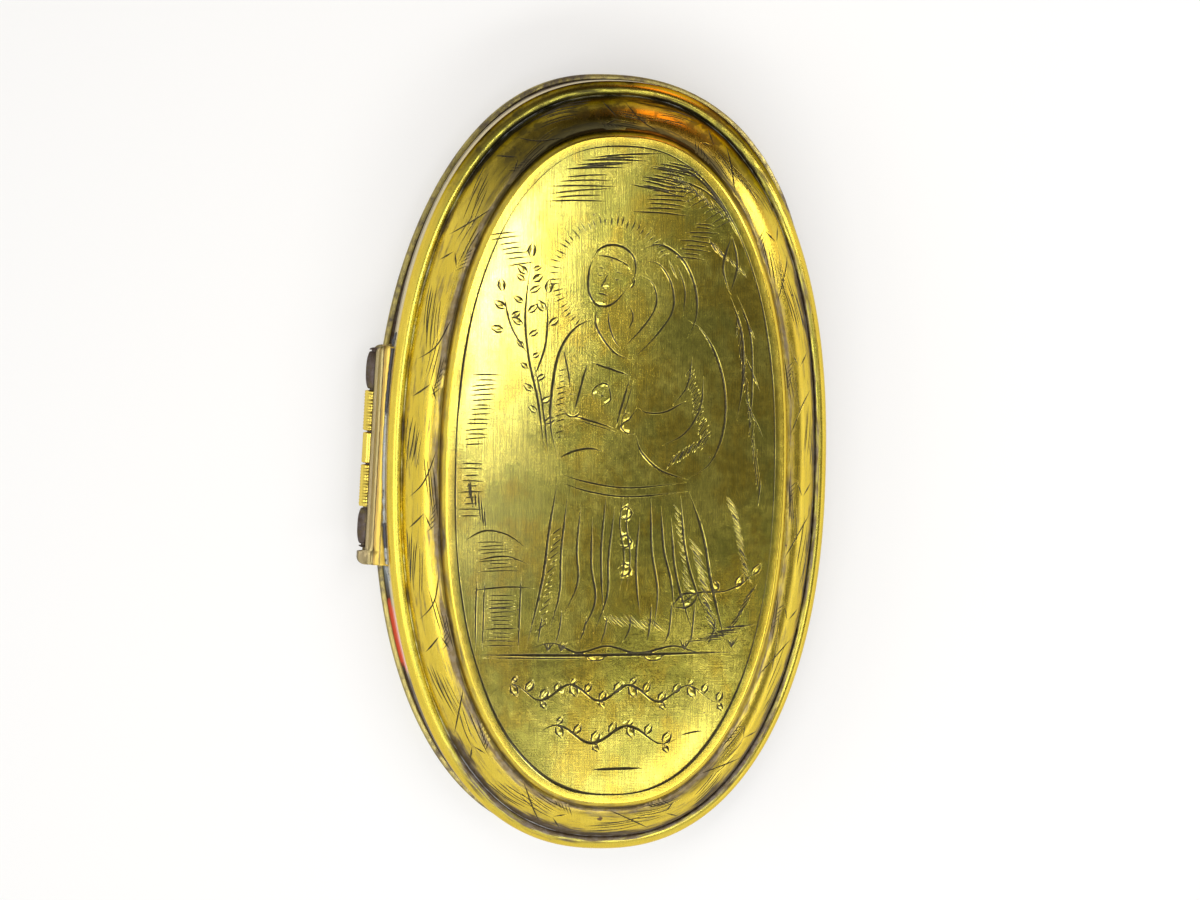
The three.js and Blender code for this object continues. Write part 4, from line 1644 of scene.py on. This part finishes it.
def stripe_bearer(finish):
    """Colours by distance across from the pin; its shade lines are given by place, reach and strength."""
    wire = finish.wire
    wander = wire.plus(wire.attribute("across"), wire.times(wire.minus(finish.fine, 0.5), 0.35))
    colour = wire.mix(wire.range(wander, 0.0, 1.05, 0.9, 0.75), finish.colour, DULL_BRASS)
    colour = wire.mix(wire.range(wander, 1.00, 1.12, 0.0, 0.85), colour, ORANGE_BRASS)
    colour = wire.mix(wire.range(wander, 1.28, 1.42), colour, PALE_GOLD)
    # Dark lines of painted shade beside the tubes and in the creases along the bearer.
    dark = 0.0
    for middle, reach, strength in CREASE_SHADE_LINES:
        dark = wire.most(dark, wire.range(wire.gap(wander, middle), 0.0, reach, strength, 0.0))
    finish.colour = wire.mix(dark, colour, DARK_TARNISH_AND_SHADE)


# %% [markdown]
# Painted shade makes the recess between the wall and the rim nearly black, and darkens the low
# part of the skirt. A red stain and a bluish run of tin cross both on the hinge side, so both
# finishes share one step, which keeps to the outer faces.

# %% Recess, shaded skirt and stain
SKIRT_SHADE = 11.5
RECESS_START = RIM_WIDTH - RIM_OVERHANG
BLUE_MIDDLE = -15.5
RED_MIDDLE = -24.0


def shade_recess(finish):
    """Painted shade, nearly black, between rim and wall, and brown patches inside the box."""
    wire, inset = finish.wire, finish.wire.attribute("inset")
    within = wire.range(inset, WALL_INSET + 0.4, WALL_INSET + 1.0, 1.0, 0.0)
    recess = wire.times(wire.range(inset, RECESS_START - 0.12, RECESS_START), within)
    inside = wire.times(wire.range(finish.golden, 0.3, 0.7, 0.25, 0.7), wire.minus(1.0, within))
    # Painted shade: the recess between rim and wall is made nearly black.
    finish.patina = wire.most(wire.most(finish.patina, inside), wire.times(recess, 0.96))
    finish.shaded = finish.outside = recess


def shade_skirt(finish):
    """Painted shade low down on the skirt, and darker all over at the low end of the box."""
    wire = finish.wire
    _, y, z = wire.axes(finish.plain)
    # Painted shade on the low part of the skirt.
    finish.shaded = wire.range(z, SKIRT_SHADE, SKIRT_SHADE - 0.35)
    finish.outside = wire.range(wire.attribute("inset"), 0.35, 0.55, 1.0, 0.0)
    low_end = wire.times(wire.range(y, -27.0, -30.0), 0.9)
    depth = wire.most(low_end, wire.times(finish.shaded, 0.55))
    finish.patina = wire.most(finish.patina, wire.times(depth, finish.outside))


def stain(finish):
    """Bluish tin above a red stain, both with ragged edges, on the hinge side of the box."""
    wire = finish.wire
    x, y, z = wire.axes(finish.plain)
    left = wire.times(wire.range(x, -24.0, -20.0, 1.0, 0.0), finish.outside)
    blue = wire.times(left, near_inset(wire, y, BLUE_MIDDLE, 5.0, wire.times(finish.fine, 1.5)))
    colour = wire.mix(wire.times(wire.times(blue, finish.shaded), 0.8), finish.colour, BLUE_TIN)
    ragged = wire.plus(wire.times(finish.fine, 2.0), wire.times(finish.grain, 0.8))
    red = wire.range(wire.plus(wire.gap(y, RED_MIDDLE), ragged), 5.2, 6.2, 1.0, 0.0)
    red = wire.times(red, left)
    stained = wire.mix(wire.range(z, SKIRT_SHADE, SKIRT_SHADE + 0.5), RED_STAIN, PALE_PINK)
    finish.colour = wire.mix(wire.times(red, 0.97), colour, stained)
    finish.metal = wire.times(finish.metal, wire.minus(1.0, red))


# %% [markdown]
# The last step turns colour, tarnish and pits into one Principled shader. Tarnish, painted shade
# and pits are rougher and lie a little lower than the rubbed metal. The colour at a grazing angle
# stays half brass, where the shader alone would turn it white, because old brass is never quite
# clean. On the lid's top end it stays all brass, which keeps the painted shade there dark.

# %% From finish to material
def shade(finish, rough):
    wire, colour = finish.wire, finish.colour
    roughness = wire.range(finish.fine, 0.3, 0.7, rough - 0.02, rough + 0.03)
    roughness = wire.plus(roughness, wire.times(finish.patina, 0.22))
    roughness = wire.plus(roughness, wire.range(finish.brushed, 0.3, 0.7, -0.02, 0.04))
    for extra in finish.rougher:
        roughness = wire.plus(roughness, extra)
    relief = wire.plus(finish.brushed, wire.times(finish.crossed, 0.6))
    relief = wire.plus(relief, wire.times(finish.grain, 0.2))
    relief = wire.minus(relief, wire.times(wire.most(finish.patina, finish.spots), 0.6))
    bump = wire.add("ShaderNodeBump", {"Strength": 0.22, "Distance": 0.00003, "Height": relief}).outputs[0]
    edge = wire.mix(0.5, colour, WHITE)
    if finish.top_end_tarnish_and_shade is not None:
        edge = wire.mix(finish.top_end_tarnish_and_shade, edge, colour)
    shader = wire.add("ShaderNodeBsdfPrincipled", {
        "Base Color": colour, "Metallic": finish.metal, "Roughness": roughness, "Normal": bump,
        "Specular Tint": edge, "Coat Weight": finish.coat, "Coat Roughness": 0.12, "Coat IOR": 1.6,
    })
    wire.add("ShaderNodeOutputMaterial", {"Surface": shader.outputs[0]})
    return finish.made


def brass(name, dark, rough, turn, tint=None, under_tarnish=None, over_tarnish=None):
    """One brass finish; turn is the direction of its rubbing in degrees."""
    finish = Finish(name, turn)
    rub(finish, tint)
    age(finish, dark)
    if under_tarnish:
        under_tarnish(finish)
    tarnish_shade_and_pit(finish)
    if over_tarnish:
        over_tarnish(finish)
    return shade(finish, rough)


# %% [markdown]
# Solder is a soft grey metal that stays dull. Here it is partly black, more so at the upper end of
# the hinge and in one patch near its low end.

# %% Solder
PATCH_MIDDLE = -9.9


def solder_grey():
    made, wire = material("solder_grey")
    plain = wire.place()
    fine = wire.noise(plain, 1.4, 6.0, 0.6)
    length = wire.noise(wire.place((1, 0.35, 1)), 0.9, 4.0, 0.6)
    y = wire.axes(plain)[1]
    upper = wire.range(y, 5.0, 9.0, 0.0, 0.20)
    low_patch = wire.range(wire.gap(y, PATCH_MIDDLE), 1.5, 1.9, 0.25, 0.0)
    cloud = wire.plus(wire.times(fine, 0.5), wire.times(length, 0.5))
    black = wire.range(wire.plus(cloud, wire.plus(upper, low_patch)), 0.54, 0.62)
    bump = wire.add("ShaderNodeBump", {"Strength": 0.6, "Distance": 0.0001, "Height": fine}).outputs[0]
    shader = wire.add("ShaderNodeBsdfPrincipled", {
        "Base Color": wire.mix(black, SOLDER_TIN, SOLDER_BLACK), "Metallic": 0.55,
        "Roughness": wire.range(fine, 0.3, 0.7, 0.25, 0.5), "Normal": bump,
    })
    wire.add("ShaderNodeOutputMaterial", {"Surface": shader.outputs[0]})
    return made


# %% [markdown]
# Now each piece gets its finish. The lid has been handled and cleaned most, so it is the brightest
# and smoothest. The wall and the ends of the hinge have hardly been cleaned at all. The number for
# dark says how much has tarnished, and a tint pulls the whole finish towards one colour.

# %% Materials
ALONG = 90.0


def paint(pieces, made):
    for piece in pieces:
        piece.data.materials.clear()
        piece.data.materials.append(made)
    print(made.name, "on", len(pieces), "pieces,", len(made.node_tree.nodes), "nodes")


paint([lid], brass(
    "lid_brass", dark=0.08, rough=0.15, turn=4.0, under_tarnish=colour_lid, over_tarnish=fill_grooves))
paint([skirt], brass(
    "skirt_brass", dark=0.25, rough=0.34, turn=ALONG, tint=(0.78, 0.69, 0.50, 1),
    under_tarnish=shade_skirt, over_tarnish=stain))
paint([base], brass(
    "case_brass", dark=0.60, rough=0.36, turn=ALONG, tint=(0.42, 0.35, 0.15, 1),
    under_tarnish=shade_recess, over_tarnish=stain))
paint([wall], brass("wall_brass", dark=0.75, rough=0.40, turn=ALONG, tint=(0.40, 0.31, 0.15, 1)))
paint([lid_bearer, case_bearer], brass(
    "hinge_brass", dark=0.30, rough=0.32, turn=0.0, under_tarnish=stripe_bearer))
paint(tubes[1:4], brass("tube_brass", dark=0.35, rough=0.20, turn=ALONG, tint=(0.82, 0.62, 0.12, 1)))
paint([tubes[0], tubes[4], pin], brass("dark_brass", dark=1.0, rough=0.34, turn=ALONG, tint=PURPLE_TARNISH))
paint(solder, solder_grey())

# %% [markdown]
# Metal looks like whatever it mirrors, so the room matters as much as the brass. The walls are
# pale, lighter and cooler in front than behind, with a shaded stretch high on the right and a
# bright strip below it. The ceiling is dim, and it is what the flat panel mirrors.

# %% Room
WINDOW_SIDE = (-0.45, -0.89, 0.0)
SHADE_SIDE = (0.80, 0.60, 0.0)
STRIP_SIDE = (0.98, -0.20, 0.0)
CEILING_MIDDLE = (0.16, 0.02, 0.98)
WALL_DIM = 0.20
WALL_BRIGHT = 1.0
SHADE_DEPTH = 0.75
STRIP_BRIGHT = 0.90
CEILING = 0.13
FRONT_WALL = (1, 0.99, 0.96, 1)
BACK_WALL = (1, 0.74, 0.50, 1)


def room():
    """The world; each side is a direction, and the dot product says how far one looks that way."""
    world = bpy.data.worlds.new("room")
    world.use_nodes = True
    world.node_tree.nodes.clear()
    wire = Wiring(world.node_tree)
    direction = wire.add("ShaderNodeTexCoord").outputs["Generated"]
    height = wire.axes(direction)[2]
    to_window, to_shade, to_strip, upward = (
        wire.between("DOT_PRODUCT", direction, side)
        for side in (WINDOW_SIDE, SHADE_SIDE, STRIP_SIDE, CEILING_MIDDLE)
    )
    walls = wire.range(to_window, -0.95, 0.45, WALL_DIM, WALL_BRIGHT)
    shaded = wire.times(wire.range(to_shade, -0.05, 0.40), wire.range(height, 0.27, 0.35))
    walls = wire.times(walls, wire.minus(1.0, wire.times(shaded, SHADE_DEPTH)))
    strip = wire.times(wire.range(to_strip, 0.70, 0.90), wire.range(height, 0.35, 0.27))
    walls = wire.plus(walls, wire.times(strip, STRIP_BRIGHT))
    above = wire.range(upward, 0.62, 0.965)
    glow = wire.plus(wire.times(walls, wire.minus(1.0, above)), wire.times(above, CEILING))
    wall_colour = wire.mix(wire.range(to_window, -0.95, -0.30), BACK_WALL, FRONT_WALL)
    lit = wire.add("ShaderNodeBackground", {"Color": wall_colour, "Strength": glow}).outputs[0]
    wire.add("ShaderNodeOutputWorld", {"Surface": lit})
    bpy.context.scene.world = world
    print("room with", len(world.node_tree.nodes), "nodes")


room()

# %% [markdown]
# The box stands on a white table. Its material is a middle grey that takes the soft shadow, and a
# glow of its own that only the camera and reflections see, so the table looks white but throws
# little extra light up at the metal.

# %% Floor
FLOOR_SIZE = 1.6
FLOOR_GLOW = 0.445
FLOOR_TONE = 0.46


def floor():
    mesh = bpy.data.meshes.new("floor")
    half = FLOOR_SIZE / 2
    corners = [(-half, -half, 0), (half, -half, 0), (half, half, 0), (-half, half, 0)]
    mesh.from_pydata(corners, [], [(0, 1, 2, 3)])
    ground = bpy.data.objects.new("floor", mesh)
    bpy.context.scene.collection.objects.link(ground)
    made, wire = material("floor_white")
    tone = (FLOOR_TONE, FLOOR_TONE, FLOOR_TONE, 1)
    diffuse = wire.add("ShaderNodeBsdfDiffuse", {"Color": tone}).outputs[0]
    path = wire.add("ShaderNodeLightPath").outputs
    seen = wire.plus(path["Is Camera Ray"], wire.plus(path["Is Glossy Ray"], path["Is Transmission Ray"]))
    glow = wire.times(seen, FLOOR_GLOW)
    glow = wire.add("ShaderNodeEmission", {"Color": WHITE, "Strength": glow}).outputs[0]
    both = wire.add("ShaderNodeAddShader", {0: diffuse, 1: glow}).outputs[0]
    wire.add("ShaderNodeOutputMaterial", {"Surface": both})
    mesh.materials.append(made)
    print("floor is", FLOOR_SIZE, "m square")


floor()

# %% [markdown]
# Flat boxes of soft light hang level above the lid, and their edges are what draws the bright
# shapes on the panel. Two of them hang some millimetres lower, because lamps in one plane would
# hide each other. Upright cards beside the box put highlights on its round parts: a pale one at
# the right, a high one at the left whose light gives the shadow, and a warm one past the top end.

# %% Lamps
LIGHT_HEIGHT = 0.26
WARM = (1.0, 0.42, 0.07)
PALE = (1.0, 0.97, 0.90)


def lamp_of_light(name, size, radiance):
    """A rectangle of light, as bright as radiance whatever its size, that no camera sees."""
    data = bpy.data.lights.new(name, "AREA")
    data.shape = "RECTANGLE"
    data.size, data.size_y = size
    data.energy = radiance * math.pi * size[0] * size[1]
    lamp = bpy.data.objects.new(name, data)
    lamp.visible_camera = False
    bpy.context.scene.collection.objects.link(lamp)
    print(name, round(data.energy, 3), "watts")
    return lamp


def light_box(name, edge, away, size, radiance, lowered=0.0):
    """A level box of light that starts at an edge point above the lid and reaches away from it."""
    lamp = lamp_of_light(name, size, radiance)
    out = Vector((*away, 0)).normalized()
    lamp.location = Vector((*edge, LIGHT_HEIGHT - lowered)) + out * size[0] / 2
    lamp.rotation_euler = (0, 0, math.atan2(out.y, out.x))


def card(name, place, size, radiance, tone, casts_shadow=False):
    """A card of soft light beside the box, turned towards it."""
    lamp = lamp_of_light(name, size, radiance)
    lamp.location = place
    lamp.rotation_euler = Vector(place).to_track_quat("Z", "Y").to_euler()
    lamp.data.color = tone
    lamp.data.use_shadow = casts_shadow


light_box("light_left", (-0.002, 0.022), (-0.80, 0.60), (0.050, 0.30), radiance=2.8, lowered=0.004)
light_box("light_side", (0.022, 0.004), (-0.90, 0.43), (0.10, 0.30), radiance=0.55)
light_box("light_edge", (-0.0035, 0.015), (-1.0, 0.10), (0.025, 0.038), radiance=11.0, lowered=0.008)
light_box("light_front", (0.0415, -0.0750), (0.25, -0.97), (0.07, 0.30), radiance=4.8)
card("light_corner", (0.225, 0.118, 0.22), (0.050, 0.26), radiance=9.0, tone=PALE)
card("light_high", (-0.27, -0.06, 0.29), (0.14, 0.14), radiance=2.8, tone=PALE, casts_shadow=True)
card("warm_card", (0.17, 0.47, 0.09), (0.16, 0.16), radiance=3.2, tone=WARM)

bpy.context.scene.view_settings.view_transform = "Standard"
